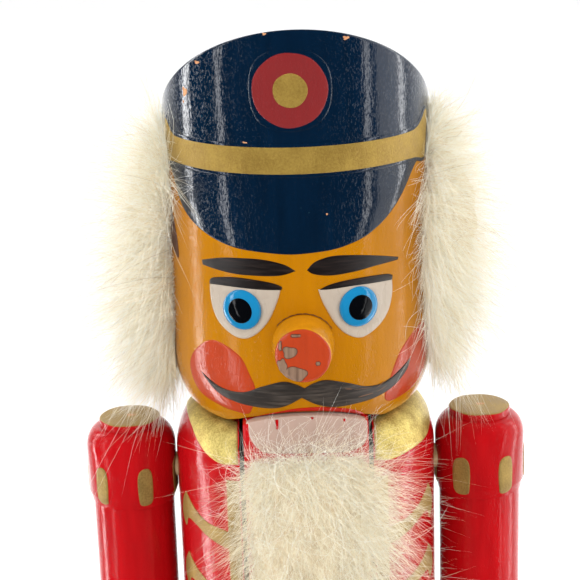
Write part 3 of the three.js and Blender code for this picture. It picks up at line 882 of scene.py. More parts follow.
def boot_toe(side_name, side):
    half_width, half_length, height, centre_y = 12.6, 22, 14, -14
    egg = [(0, -1)] + arc(0, 0, 1, 1, -1, 1, 40)[1:-1] + [(0, 1)]
    points, faces = lathe(egg, LIMB_SIDES)
    placed = []
    for x, y, z in points:
        placed.append((side * LEG_X + x * half_width, centre_y + y * half_length, LEG_BOTTOM + z * height))
    piece = new_piece(f"boot_toe_{side_name}_block", placed, faces, BLACK)
    square = [(-BEYOND, -BEYOND), (BEYOND, -BEYOND), (BEYOND, BEYOND), (-BEYOND, BEYOND)]
    below = prism("cutter", square, LEG_BOTTOM - BEYOND, LEG_BOTTOM, seen_from_above)
    half_plane = [(-BEYOND, 0), (BEYOND, 0), (BEYOND, BEYOND), (-BEYOND, BEYOND)]
    behind = prism("cutter", half_plane, LEG_BOTTOM - 1, LEG_BOTTOM + BEYOND, seen_from_above)
    boot = rod(14.9, LEG_BOTTOM - 1, LEG_BOTTOM + BEYOND, (side * LEG_X, 0, 0))
    carve(piece, below, behind, boot)
    soften_edges(piece, 0.5)
    return place_piece(piece, f"boot_toe_{side_name}")


def plinth_board():
    half_x, half_y = PLINTH_HIGH[0], PLINTH_HIGH[1]
    low, high, corner = PLINTH_LOW[2], PLINTH_HIGH[2], 7

    def outline(inset):
        points = []
        centres = [(1, -1, -1), (1, 1, 0), (-1, 1, 1), (-1, -1, 2)]
        for sign_x, sign_y, quarter in centres:
            x, y = sign_x * (half_x - corner), sign_y * (half_y - corner)
            points += arc(x, y, corner - inset, corner - inset, quarter, quarter + 1, 10)
        return points

    edge = 1.5
    levels = [(edge, low), (0.45, low + 0.45), (0, low + edge), (0, high - edge)]
    levels += [(0.45, high - 0.45), (edge, high)]
    points, faces = [], []
    for inset, height in levels:
        points += [(x, y, height) for x, y in outline(inset)]
    count = len(outline(0))
    for level in range(len(levels) - 1):
        for k in range(count):
            n = (k + 1) % count
            faces.append((level * count + k, level * count + n, (level + 1) * count + n, (level + 1) * count + k))
    faces.append(tuple(reversed(range(count))))
    faces.append(tuple(range((len(levels) - 1) * count, len(levels) * count)))
    piece = new_piece("plinth_board", points, faces, BEECH, 40)
    holes = [rod(4.3, low - 1, low + 5.6, (side * LEG_X, 0, 0)) for side in SIDES.values()]
    carve(piece, *holes)
    return place_piece(piece, "base_plinth")


def nose_plug():
    edge = 1.3
    profile = [(0, NOSE_SEAT), (NOSE_ROOT_RADIUS, NOSE_SEAT), (NOSE_ROOT_RADIUS, HEAD_RADIUS)]
    profile += arc(NOSE_TIP_RADIUS - edge, NOSE_TIP - edge, edge, edge, 0, 1, 6) + [(3, NOSE_TIP), (0, NOSE_TIP)]
    points, faces = lathe(profile, LIMB_SIDES)
    piece = new_piece("nose_plug_turning", flip_forwards(points, NOSE_Z), faces, NOSE_YELLOW, 50)
    face_outwards(piece)
    return place_piece(piece, "nose_plug")


def eye_button(side_name, side):
    """A blue domed button with its rim sunk in the white of the eye."""
    seat, rim, crown = 29.8, 31.6, 32.7
    dome = arc(0, rim, EYE_RADIUS, crown - rim, 0, 1, 14)
    profile = [(0, seat), (EYE_RADIUS - 0.3, seat), (EYE_RADIUS, rim - 0.3)] + dome[:-1] + [(0, crown)]
    points, faces = lathe(profile, LIMB_SIDES)
    forwards = turn_about_axis(flip_forwards(points, EYE_Z), side * EYE_ANGLE[side_name])
    piece = new_piece(f"eye_button_{side_name}_dome", forwards, faces, BLUE, 60)
    face_outwards(piece)
    place_piece(piece, f"eye_button_{side_name}")
    pupil = [(0, crown - 1), (2.95, crown - 1), (2.95, crown - 0.2), (2.8, crown - 0.08), (0, crown + 0.07)]
    points, faces = lathe(pupil, LIMB_SIDES)
    forwards = turn_about_axis(flip_forwards(points, EYE_Z), side * EYE_ANGLE[side_name])
    piece = new_piece(f"eye_pupil_{side_name}", forwards, faces, PUPIL, 60)
    face_outwards(piece)
    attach(piece, "figure")


# ---------------------------------------------------------------- the cap

CAP_COAT = 0.14  # thickness of the navy paint
CAP_EDGE = [
    (-36.8, 66), (-32.6, 57.1), (-27, 53.6), (-21, 51.1), (-15, 49.6), (-2, 48.6), (8, 49.3), (15, 51.1),
    (21, 54.5), (26, 58.6), (30, 63.2), (32.2, 66),
]


def cap_lower_edge(angle):
    """Height of the cap's painted edge: an arch over the face, then a strip below the rim."""
    s = angle * HEAD_RADIUS
    arch = np.interp(s, [p[0] for p in CAP_EDGE], [p[1] for p in CAP_EDGE])
    rim = CAP_TOP - DATUM + HEAD_RADIUS * math.cos(angle) * CAP_SLOPE
    behind = min(66, rim - 9)
    if s < CAP_EDGE[0][0] or s > CAP_EDGE[-1][0]:
        return behind
    return min(arch, rim - 9)


def smooth_cap_edge():
    """The painted edge at each side of the turning, smoothed along its length."""
    angles = [2 * math.pi * k / TURNED_SIDES for k in range(TURNED_SIDES)]
    wrapped = [angle if angle <= math.pi else angle - 2 * math.pi for angle in angles]
    edge = np.array([cap_lower_edge(angle) for angle in wrapped])
    for _ in range(6):
        edge = (np.roll(edge, 1) + 2 * edge + np.roll(edge, -1)) / 4
    return angles, edge


def painted_cap():
    """Navy paint over the slanted top and down to the arched edge, as one closed coat."""
    angles, edge = smooth_cap_edge()
    coat, bevel, rows = CAP_COAT, CAP_BEVEL, []

    def side_row(radius, share, raise_by=0.0):
        row = []
        for angle, low in zip(angles, edge):
            rim = CAP_TOP - DATUM - bevel + HEAD_RADIUS * math.cos(angle) * CAP_SLOPE
            height = low + (rim - low) * share + raise_by
            row.append((radius * math.sin(angle), -radius * math.cos(angle), height + DATUM))
        return row

    def top_row(radius, height):
        row = []
        for angle in angles:
            x, y = radius * math.sin(angle), -radius * math.cos(angle)
            row.append((x, y, slanted_top(CAP_TOP + height, y)))
        return row

    inner = HEAD_RADIUS - 0.3
    rows += [side_row(inner, 0), side_row(HEAD_RADIUS, 0)]
    rows += [side_row(HEAD_RADIUS + coat * 0.7, 0, 0.12), side_row(HEAD_RADIUS + coat, 0, 0.35)]
    rows += [side_row(HEAD_RADIUS + coat, share) for share in (0.15, 0.3, 0.5, 0.7, 0.85, 1)]
    for quarter in (0.25, 0.5, 0.75, 1):
        turn = quarter * math.pi / 2
        radius = HEAD_RADIUS - bevel + (bevel + coat) * math.cos(turn)
        rows.append(top_row(radius, (bevel + coat) * math.sin(turn) - bevel))
    rows += [top_row(radius, coat) for radius in (24, 16, 8)]
    points = [point for row in rows for point in row]
    faces = []
    for r in range(len(rows) - 1):
        for k in range(TURNED_SIDES):
            n = (k + 1) % TURNED_SIDES
            first, second = r * TURNED_SIDES, (r + 1) * TURNED_SIDES
            faces.append((first + k, first + n, second + n, second + k))
    crown = len(points)
    points += [(0, 0, CAP_TOP + coat), (0, 0, CAP_TOP - 0.3)]
    under = len(points)
    points += top_row(inner, -0.3)
    last = (len(rows) - 1) * TURNED_SIDES
    for k in range(TURNED_SIDES):
        n = (k + 1) % TURNED_SIDES
        faces.append((last + k, last + n, crown))
        faces.append((under + n, under + k, crown + 1))
        faces.append((n, k, under + k, under + n))
    piece = new_piece("painted_cap", points, faces, NAVY, 50)
    face_outwards(piece)
    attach(piece, "figure")


def grown(outline, amount):
    """The outline moved outwards by an amount."""
    outline = np.asarray(outline, float)
    if signed_area(outline) < 0:
        outline = outline[::-1]
    along = np.roll(outline, -1, axis=0) - np.roll(outline, 1, axis=0)
    outward = np.stack([along[:, 1], -along[:, 0]], 1)
    outward /= np.maximum(np.linalg.norm(outward, axis=1), 1e-9)[:, None]
    return outline + outward * amount


def cap_band():
    """The gold band round the cap, its ends flared, over a dark ridge of older paint."""
    outline = smooth_outline([
        (-34.3, 66.9), (-20, 66.9), (0, 66.9), (20, 66.9), (31, 66.6), (35.5, 65.7), (37.3, 66.2),
        (38.8, 71), (39.4, 75.6), (38, 76.6), (35.5, 74.9), (32.5, 73.5), (28, 73.1), (10, 73.1),
        (-10, 73.1), (-30, 73.1), (-34.5, 73.6), (-37.5, 75.6), (-39.4, 76.2), (-39.8, 71), (-38.6, 66.4),
    ])
    painted("painted_band_ridge", grown(outline, 0.75), on_head, NAVY, CAP_COAT, 0.16, 0.35)
    painted("painted_cap_band", outline, on_head, BAND_GOLD, CAP_COAT + 0.05, 0.16, 0.3)


def cockade():
    """Three rings painted on the front of the cap."""
    x, z = -1.3, 85.5
    ridge = ellipse_outline(x, z, 9.6, 9.4, 0.01, 3, 0.035)
    painted("painted_cockade_ridge", ridge, on_head, NAVY, CAP_COAT, 0.17, 0.5)
    red = ellipse_outline(x, z, 8.4, 8.3, 0.006, 7)
    painted("painted_cockade_red", red, on_head, COCKADE_RED, CAP_COAT + 0.08, 0.16, 0.3)
    gold = ellipse_outline(x + 0.1, z, 3.8, 3.8, 0.008, 5)
    painted("painted_cockade_gold", gold, on_head, BAND_GOLD, CAP_COAT + 0.2, 0.12, 0.25)


# ---------------------------------------------------------------- the face

def brows():
    left = smooth_outline([
        (1.3, 45, CORNER), (2.8, 46.6), (5, 47.5), (8, 47.9), (13.2, 47.4), (19, 46.3), (24.9, 44.8, CORNER),
        (24.7, 44.2, CORNER), (20.6, 44.2), (17.4, 44.1), (11.7, 43.6), (6.5, 43.4), (2.8, 44),
    ])
    right = smooth_outline([
        (-1.2, 44.9, CORNER), (-4, 46.5), (-9.1, 47.5), (-15.2, 47.4), (-19.6, 46.9), (-25, 45.6, CORNER),
        (-24.9, 44.5, CORNER), (-21.3, 44.1), (-15.3, 43.6), (-10.5, 43.6), (-6, 43.7), (-3.5, 44.1),
    ])
    painted("painted_brow_left", left, on_head, BROW_BLACK, 0, 0.12, 0.3)
    painted("painted_brow_right", right, on_head, BROW_BLACK, 0, 0.12, 0.3)


EYE_WHITES = {
    "left": [
        (3.7, 40.4, CORNER), (11.7, 40.6), (22.6, 40.2, CORNER), (22.5, 36.6), (21.2, 32.8), (18.3, 29.8),
        (13.9, 27.9), (10.1, 29.2), (7.5, 31.9), (5.6, 35.3), (4.4, 38),
    ],
    "right": [
        (-22.7, 40.6, CORNER), (-13.3, 40.8), (-4.7, 40.7, CORNER), (-5.6, 37.7), (-7.6, 33.3),
        (-10.4, 30.1), (-13.5, 28.5), (-16.8, 29), (-20.4, 31.6), (-22.1, 34.7), (-22.7, 37.9),
    ],
}
LASHES = {
    "left": [
        (3.9, 40.3, CORNER), (6.4, 41.3), (10.3, 41.9), (15.8, 42), (20.9, 41.6), (22.7, 41, CORNER),
        (22.5, 39.9, CORNER), (17.3, 40.2), (11.7, 40.4), (6.4, 40.2),
    ],
    "right": [
        (-22.7, 40.3, CORNER), (-22.5, 41.4), (-21, 42.1), (-16, 42.8), (-11.2, 42.7), (-6.7, 42.1),
        (-4.4, 41.2), (-4.6, 40.5, CORNER), (-8.7, 40.4), (-14, 40.5), (-19.1, 40.5),
    ],
}


def eye_relief(points, distance):
    """A raised rim of thick paint, with a shallow bowl inside it."""
    edge = np.clip(distance / 0.4, 0, 1)
    bowl = np.clip((distance - 1.5) / 0.8, 0, 1)
    bowl = bowl * bowl * (3 - 2 * bowl)
    return 0.3 * np.sqrt(1 - (1 - edge) ** 2) - 0.14 * bowl


def eyes():
    for side_name, side in SIDES.items():
        white = smooth_outline(EYE_WHITES[side_name])
        lash = smooth_outline(LASHES[side_name])
        painted(f"painted_eye_white_{side_name}", white, on_head, EYE_WHITE, spacing=0.6, relief=eye_relief)
        painted(f"painted_lash_{side_name}", lash, on_head, BROW_BLACK, 0.1, 0.24, 0.25)
        eye_button(side_name, side)


def moustache():
    outline = smooth_outline([
        (0, 17.1, CORNER), (2, 18.2), (5, 18.8), (10, 17.5), (15, 15.8), (20.5, 15.9), (28.9, 19.5, CORNER),
        (27.3, 16.8), (23, 13.9), (17.5, 12.3), (12, 11.8), (7, 11.7), (3, 12.7), (-0.7, 14.7, CORNER),
        (-4.5, 12.6), (-8, 11.8), (-13, 11.9), (-18, 12.6), (-22.5, 14.2), (-27.2, 18.2, CORNER),
        (-21, 15.6), (-15, 15.3), (-10, 17.2), (-5, 18.7), (-2, 18.1),
    ])
    painted("painted_moustache", outline, on_head, BRUSHED_BLACK, 0.12, 0.22, 0.45)


def moustache_scratches():
    """Thin lines where the brush left the face bare, near the left end of the moustache."""
    lines = [
        ((9.3, 16.2), (11.1, 15.9), 0.1), ((11.3, 15.7), (16.2, 15.3), 0.05), ((12.6, 13.5), (16.8, 13.8), 0.1),
        ((17.2, 14.8), (19.7, 15.9), 0.06), ((17.6, 13.8), (20.9, 14.9), 0.08),
    ]
    for number, (start, end, half_width) in enumerate(lines, 1):
        share = np.linspace(0, 1, 13)
        middle = np.array(start) + np.subtract(end, start) * share[:, None]
        half = half_width * np.sin(np.pi * share) ** 0.5 + 0.01
        outline = np.concatenate([middle - np.stack([0 * half, half], 1),
                                  (middle + np.stack([0 * half, half], 1))[::-1]])
        painted(f"moustache_scratch_{number}", outline, on_head, SCRATCH, 0.33, 0.03, 0.04, 0.5)


def painted_shade_at_hair_edge():
    """Painted shade: a dark strip on the right temple, in the gap where the hair meets the face."""
    outline = smooth_outline([
        (-40, 57, CORNER), (-37.6, 53.6), (-36.1, 50), (-35.3, 47.4), (-35, 44.6), (-35.6, 43.8),
        (-37.4, 44.6), (-40, 47, CORNER),
    ])
    painted("painted_shade_at_hair_edge", outline, on_head, CHIP_RIM_AND_PAINTED_SHADE, 0, 0.1, 0.2, 0.8)


def cheeks():
    right = smooth_outline([
        (-32, 18), (-29.5, 22.7), (-22.6, 26.8), (-15.6, 24.5), (-12.7, 19.8), (-11.6, 15.7),
        (-13.9, 9.9), (-18, 9.6), (-23, 10.4), (-29.5, 12.6),
    ])
    left = smooth_outline([
        (33.5, 26.3), (27, 23.6), (23.3, 19.7), (20.6, 12.8), (22.4, 10.1), (28, 10.2), (34.6, 11.9),
        (41, 17.2), (43, 21.5), (39, 25.8),
    ])
    painted("painted_cheek_right", right, on_head, CORAL, 0, 0.1, 0.4)
    painted("painted_cheek_left", left, on_head, CORAL, 0, 0.1, 0.4)


def mouth_edge(s):
    """Height of the arched edge of the head over the mouth."""
    x = HEAD_RADIUS * math.sin(s / HEAD_RADIUS)
    return MOUTH_AXIS - DATUM + math.sqrt(MOUTH_RADIUS ** 2 - x ** 2)


def lip():
    """A red line along the edge of the head over the mouth, thin on the figure's right."""
    start, end, steps = -12.5, 15.6, 24
    lower, upper = [], []
    for k in range(steps + 1):
        s = start + (end - start) * k / steps
        width = float(np.interp(s, [-12.5, -7, -2.5, 4, 11, 14, 15.6], [0.15, 0.35, 0.9, 1.2, 1.2, 0.9, 0.3]))
        lower.append((s, mouth_edge(s) + 0.05))
        upper.append((s, mouth_edge(s) + 0.05 + width))
    painted("painted_lip", np.array(lower + upper[::-1]), on_head, LIP_RED, 0, 0.2, 0.3, 0.5)


def jaw_top(s):
    """Height of the arched top of the jaw, straight above a point of its face."""
    x = JAW_RADIUS * math.sin(s / JAW_RADIUS)
    return MOUTH_AXIS - DATUM + math.sqrt(JAW_ARCH_RADIUS ** 2 - x ** 2)


def on_jaw_top(x, y, lift):
    radius = JAW_ARCH_RADIUS + lift
    angle = np.asarray(x) / JAW_ARCH_RADIUS
    return np.stack([radius * np.sin(angle), y + 0 * angle, MOUTH_AXIS + radius * np.cos(angle)], -1)


def teeth():
    """One white field, with short red notches between the teeth, that carries on over the jaw's edge."""
    over = 0.12  # how far the paint stands above the corner of the jaw
    points = [(-13.6, jaw_top(-13.6) + over, CORNER)]
    for notch, depth in ((-6.6, 2.7), (1.5, 0.8), (9.0, 1.0)):
        points += [
            (notch - 0.45, jaw_top(notch - 0.45) + over, CORNER), (notch - 0.2, jaw_top(notch) - depth, CORNER),
            (notch + 0.25, jaw_top(notch) - depth, CORNER), (notch + 0.4, jaw_top(notch + 0.4) + over, CORNER),
        ]
    points += [
        (14.7, jaw_top(14.7) + over, CORNER), (14.8, 5), (14.5, 3), (13, 1.5), (9.4, 0.9), (5, 1.1),
        (0, 1.4), (-5, 1.3), (-9.6, 1.2), (-12, 2.6), (-13.3, 4.4), (-13.6, 6.5),
    ]
    painted("painted_teeth", smooth_outline(points), on_jaw, TOOTH_WHITE, 0, 0.18, 0.3, 0.8, body="lever")
    half = JAW_HALF - 0.4
    face = -math.sqrt(JAW_RADIUS ** 2 - half ** 2)
    depth = 2.2
    front = [(x, -math.sqrt(JAW_RADIUS ** 2 - x ** 2) - 0.15) for x in np.linspace(-half, half, 33)]
    outline = np.array(front + [(half, face + depth), (-half, face + depth)])
    painted("painted_tooth_tops", outline, on_jaw_top, TOOTH_WHITE, 0, 0.15, 0.2, 1.0, body="lever")


NOSE_EDGE = 1.3


def on_nose(a, b, lift):
    """A flat disc laid over the front of the nose and folded round its edge and down its side."""
    reach = np.hypot(a, b)
    flat = NOSE_TIP_RADIUS - NOSE_EDGE
    turn = np.clip((reach - flat) / NOSE_EDGE, 0, math.pi / 2)
    down = np.maximum(0, reach - flat - NOSE_EDGE * math.pi / 2)
    radius = np.minimum(reach, flat) + (NOSE_EDGE + lift) * np.sin(turn) + down * 0.1
    front = NOSE_TIP - NOSE_EDGE + (NOSE_EDGE + lift) * np.cos(turn) - down
    scale = radius / np.maximum(reach, 1e-6)
    return np.stack([a * scale, -front, NOSE_Z + b * scale], -1)


def nose_tip():
    """Coral paint over the front of the nose, flaked off to bare wood in places."""
    coat = 0.14
    front = ellipse_outline(-0.75, -0.3, 6.95, 6.7, 0.012, 5)
    painted("painted_nose_tip", front, on_nose, CORAL, 0, coat, 0.5, 0.6)
    chips = [
        (-3.1, 1.1, 1.5, 1.3), (-2.2, -4.1, 2.7, 1.7), (-4.9, -2.4, 1.0, 2.0), (3.1, -1.7, 0.45, 0.4),
        (-5.2, 2.6, 0.3, 1.0), (-1.6, 4.9, 1.1, 0.25),
    ]
    for number, (x, z, radius_x, radius_z) in enumerate(chips, 1):
        outline = ellipse_outline(x, z, radius_x, radius_z, 0.14, 2 + number, 0.07, 44)
        rim = grown(outline, 0.16)
        painted(f"nose_chip_rim_{number}", rim, on_nose, CHIP_RIM_AND_PAINTED_SHADE, coat - 0.01, 0.04, 0.12, 0.6)
        painted(f"nose_chip_{number}", outline, on_nose, CHIPPED_WOOD, coat + 0.03, 0.03, 0.1, 0.6)


def nose_glue_line():
    """The dark, cracked glue line over the top of the nose, where it enters the face."""
    start, end, steps = math.radians(28), math.radians(142), 26
    radius = NOSE_ROOT_RADIUS + 0.25
    outer, inner = [], []
    for k in range(steps + 1):
        turn = start + (end - start) * k / steps
        width = 0.16 + 0.12 * math.sin(math.pi * k / steps) + 0.07 * math.sin(k * 2.1)
        outer.append(((radius + width) * math.cos(turn), (radius + width) * math.sin(turn)))
        inner.append((radius * math.cos(turn), radius * math.sin(turn)))
    ring = [(HEAD_RADIUS * math.asin(x / HEAD_RADIUS), z) for x, z in outer + inner[::-1]]
    outline = np.array([(s, z + NOSE_Z - DATUM) for s, z in ring])
    painted("nose_glue_line", outline, on_head, CHIP_RIM_AND_PAINTED_SHADE, 0, 0.06, 0.1, 0.6)


def paint_chips():
    """Spots where the enamel has flaked from the cap and shows the wood."""
    spots = [
        ("cap_left", -28.2, 83.9, 0.8, 1.0), ("rim_right", 11.4, 96.2, 0.7, 0.4),
        ("rim_middle", -6.4, 97.8, 0.4, 0.25), ("band_top", -11.7, 73.8, 0.5, 0.35),
        ("band_bottom", -9.3, 66.4, 0.4, 0.18), ("cap_side", -28.9, 81.6, 0.25, 0.3),
        ("visor", 6.1, 57.6, 0.22, 0.22), ("rim_left", -23.5, 90.9, 0.7, 0.35),
    ]
    for name, s, z, radius_s, radius_z in spots:
        outline = ellipse_outline(s, z, radius_s, radius_z, 0.25, 3, 0.1, 24)
        painted(f"paint_chip_{name}", outline, on_head, RAW_WOOD, CAP_COAT, 0.03, 0.08, 0.5)


# ---------------------------------------------------------------- the coat

def slot_edge(v, gap=0.35):
    """Distance round the trunk, at v, from the middle of the front to the edge of the slot."""
    radius = float(torso_profile(v)[0])
    return TORSO_RADIUS * math.asin((SLOT_HALF + gap) / radius)


def epaulettes():
    """Gold paint over each shoulder, from the slot at the front to the back."""
    top = SHOULDER_START + SHOULDER_ARC
    lower_edges = {
        "left": [(22, -4.4), (30, -4.2), (38, -3.9), (46, -2.4), (55, -1), (65, -1.5), (74, -3.2)],
        "right": [(22, -4.3), (27, -3.4), (32, -1.6), (38, 0.6), (46, 1.6), (55, 0.8), (65, -1.5), (74, -3.2)],
    }
    for side_name, side in SIDES.items():
        back = math.pi * TORSO_RADIUS * 0.82
        low_front = -3.6
        inner = [(slot_edge(v), v) for v in (low_front, 0, 3, 6, top - 2, top - 0.3)]
        lower = lower_edges[side_name]
        points = [(inner[0][0], inner[0][1], CORNER)] + lower + [(back, -3.6, CORNER), (back, top - 0.3, CORNER)]
        steps = 6
        for k in range(1, steps):
            points.append((back + (inner[-1][0] - back) * k / steps, top - 0.3))
        points.append((inner[-1][0], inner[-1][1], CORNER))
        points += list(reversed(inner[1:-1]))
        if side < 0:
            points = mirrored(points)
        painted(f"painted_epaulette_{side_name}", smooth_outline(points), on_torso, SHOULDER_GOLD,
                0, 0.16, 0.4, 1.3)


def coat_trim():
    """The gold edge of the coat beside the slot, and three braids from it with a lozenge at the end."""
    for side_name, side in SIDES.items():
        start = slot_edge(-10)
        strip = [
            (start, -7, CORNER), (start + 3.6, -7.2, CORNER), (start + 3.7, -24), (start + 3.5, -44),
            (start + 3.6, -60, CORNER), (start, -60, CORNER), (start, -44), (start, -24),
        ]
        if side < 0:
            strip = mirrored(strip)
        painted(f"painted_trim_{side_name}", smooth_outline(strip), on_torso, BRAID_GOLD, 0, 0.14, 0.35)
        for number, height in enumerate((-18.5, -34.5, -50.5), 1):
            inner = start + 3
            braid = [
                (inner, height - 6.2), (inner, height - 2.2), (27, height - 1.4), (32, height + 0.3),
                (35.6, height + 2.2), (37.4, height + 3.4, CORNER), (39.6, height + 0.6),
                (40.4, height - 3.2), (38.2, height - 6), (36.4, height - 3.4), (32, height - 3.6),
                (27, height - 5.2),
            ]
            if side < 0:
                braid = mirrored(braid)
            painted(f"painted_braid_{side_name}_{number}", smooth_outline(braid), on_torso, BRAID_GOLD,
                    0.02, 0.16, 0.35)


def belt_buckle():
    """A gold plate on the belt, a little raised, with a plain sunken middle."""
    middle = (BELT_BOTTOM + BELT_TOP) / 2 - DATUM
    half_width, half_height = 6.5, 4.6
    corners = [(-1, -1), (1, -1), (1, 1), (-1, 1)]
    outline = smooth_outline([
        (half_width * x, middle + half_height * z, CORNER) for x, z in corners
    ], 0.4)

    def plate(points, distance):
        edge = np.clip(distance / 0.4, 0, 1)
        sunken = np.clip((distance - 1.3) / 0.4, 0, 1)
        return 0.7 * np.sqrt(1 - (1 - edge) ** 2) - 0.4 * sunken

    painted("belt_buckle_paint", outline, on_torso, BAND_GOLD, -BELT_DEPTH, spacing=0.5, seat=0.2,
            relief=plate)


def arm_paint():
    """Gold on the flat top of each arm, and six gold tabs round its shoulder."""
    first_turn = {"left": -30.0, "right": 20.5}
    for side_name, side in SIDES.items():
        top = ellipse_outline(0, 0, ARM_NECK_RADIUS - 0.15, ARM_NECK_RADIUS - 0.15, 0.008, 6)
        painted(f"painted_arm_top_{side_name}", top, on_flat_top(side * ARM_X, 0, ARM_HIGH[2]), BRAID_GOLD,
                0, 0.12, 0.4)
        dimple = ellipse_outline(0.3, 0.4, 1.1, 0.6, 0.12, 3, 0, 30)
        painted(f"lathe_mark_{side_name}", dimple, on_flat_top(side * ARM_X, 0, ARM_HIGH[2]), RAW_WOOD,
                0.12, 0.03, 0.1, 0.5)
        for number in range(6):
            turn = math.radians(first_turn[side_name] + 60 * number)
            centre = turn * ARM_CAP_RADIUS
            half = 2.0 + 0.22 * math.sin(number * 2.3 + side)
            tab = smooth_outline([
                (centre - half, -12.2), (centre - half * 0.5, -10.4), (centre + half * 0.5, -10.2),
                (centre + half, -12), (centre + half * 1.04, -16.5), (centre + half * 0.75, -19.6),
                (centre - half * 0.65, -19.8), (centre - half * 1.02, -16.8),
            ])
            painted(f"painted_arm_tab_{side_name}_{number + 1}", tab, on_arm(side), BRAID_GOLD, 0.02, 0.14, 0.35)


# ---------------------------------------------------------------- fur

HAIR_SEGMENTS = 4
CURLY_SEGMENTS = 16
HAIR_SIDES = 3


def unit(vectors):
    return vectors / np.maximum(np.linalg.norm(vectors, axis=-1, keepdims=True), 1e-9)


def strand_piece(name, paths, radii, colours, materials):
    """One mesh of many hairs: each is a closed, tapered, three-sided tube along its path."""
    hairs, rings = paths.shape[0], paths.shape[1] - 1
    along = unit(paths[:, 1:] - paths[:, :-1])
    helper = np.where(np.abs(along[..., 2:3]) < 0.8, [0.0, 0.0, 1.0], [1.0, 0.0, 0.0])
    across = unit(np.cross(along, helper))
    other = np.cross(along, across)
    taper = 1 - 0.65 * np.arange(rings) / rings
    turns = 2 * math.pi * np.arange(HAIR_SIDES) / HAIR_SIDES
    offset = across[:, :, None] * np.cos(turns)[:, None] + other[:, :, None] * np.sin(turns)[:, None]
    tube = paths[:, :-1, None] + offset * (radii[:, None] * taper)[:, :, None, None]
    per_hair = rings * HAIR_SIDES + 1
    points = np.concatenate([tube.reshape(hairs, -1, 3), paths[:, -1:]], 1)
    quads, triangles = [], [(2, 1, 0)]
    for ring in range(rings - 1):
        for k in range(HAIR_SIDES):
            n = (k + 1) % HAIR_SIDES
            low, high = ring * HAIR_SIDES, (ring + 1) * HAIR_SIDES
            quads.append((low + k, low + n, high + n, high + k))
    last = (rings - 1) * HAIR_SIDES
    triangles += [(last + k, last + (k + 1) % HAIR_SIDES, per_hair - 1) for k in range(HAIR_SIDES)]
    pattern = [corner for face in quads + triangles for corner in face]
    sizes = [4] * len(quads) + [3] * len(triangles)
    starts = np.cumsum([0] + sizes[:-1])
    shift = np.arange(hairs)[:, None]
    mesh = bpy.data.meshes.new(name)
    mesh.vertices.add(hairs * per_hair)
    mesh.vertices.foreach_set("co", (points * MM).astype(np.float32).ravel())
    mesh.loops.add(hairs * len(pattern))
    mesh.loops.foreach_set("vertex_index", (np.array(pattern) + shift * per_hair).astype(np.int32).ravel())
    mesh.polygons.add(hairs * len(sizes))
    mesh.polygons.foreach_set("loop_start", (starts + shift * len(pattern)).astype(np.int32).ravel())
    mesh.polygons.foreach_set("material_index", np.repeat(colours, len(sizes)).astype(np.int32))
    mesh.polygons.foreach_set("use_smooth", [True] * (hairs * len(sizes)))
    mesh.update(calc_edges=True)
    for material in materials:
        mesh.materials.append(material)
    piece = bpy.data.objects.new(name, mesh)
    bpy.context.scene.collection.objects.link(piece)
    return piece


FUR_MARGIN = 8.5  # how far hairs may stand out of the CAD box


def kept_within(paths):
    """Shortens the hairs that would reach too far beyond the CAD box."""
    low = np.array(cad_low) / MM - FUR_MARGIN
    high = np.array(cad_high) / MM + FUR_MARGIN
    roots = paths[:, :1]
    reach = paths - roots
    room = np.where(reach > 0, high - roots, low - roots)
    share = np.where(np.abs(reach) > 1e-6, room / np.where(np.abs(reach) > 1e-6, reach, 1), 9.0)
    return roots + reach * np.clip(share.min((1, 2)), 0.05, 1)[:, None, None]


def nearest_guides(roots, number, rng):
    """Picks some of the hairs as guides, and the nearest guide for every hair."""
    guides = rng.choice(len(roots), number, replace=False)
    nearest = np.concatenate([
        ((part[:, None] - roots[guides][None]) ** 2).sum(2).argmin(1)
        for part in np.array_split(roots, 24)
    ])
    return guides, nearest


def hair_paths(roots, directions, lengths, sag, curl, clump, tufts, rng):
    """Curved hairs in uneven locks, which lean together into tufts towards their tips."""
    hairs = len(roots)
    for number, lean, uneven in ((60, 0.26, 0.22), (tufts, 0.3, 0.3)):
        guides, nearest = nearest_guides(roots, number, rng)
        directions = directions + rng.normal(0, lean, (number, 3))[nearest]
        lengths = lengths * rng.uniform(1 - uneven, 1 + uneven, number)[nearest]
    out = unit(roots * [1, 1, 0])
    inwards = np.minimum(0, (directions * out).sum(1) - 0.15)
    directions = unit(directions - out * inwards[:, None])
    bend = rng.normal(0, 1, (hairs, 3)) * curl
    shares = np.linspace(0, 1, HAIR_SEGMENTS + 1)
    reach = shares[None, :, None]
    spans = lengths[:, None, None]
    paths = roots[:, None] + directions[:, None] * spans * reach
    paths = paths + bend[:, None] * spans * reach ** 2
    paths[..., 2] -= (sag * lengths)[:, None] * shares ** 2
    paths = kept_within(paths)
    leader = paths[guides][nearest]
    pull = clump[:, None, None] * reach ** 1.4
    return paths + (leader - paths) * pull


def curly_paths(roots, directions, lengths, sag, turns, rng):
    """Single long hairs that wander in open loops."""
    hairs = len(roots)
    shares = np.linspace(0, 1, CURLY_SEGMENTS + 1)
    across = unit(np.cross(directions, rng.normal(0, 1, (hairs, 3))))
    other = np.cross(directions, across)
    wind = rng.uniform(*turns, hairs)[:, None] * 2 * math.pi * shares[None]
    width = (lengths * rng.uniform(0.08, 0.22, hairs))[:, None, None]
    paths = roots[:, None] + directions[:, None] * lengths[:, None, None] * shares[None, :, None]
    paths = paths + across[:, None] * width * (1 - np.cos(wind))[..., None]
    paths = paths + other[:, None] * width * np.sin(wind)[..., None]
    paths[..., 2] -= (sag * lengths)[:, None] * shares ** 2
    return kept_within(paths)


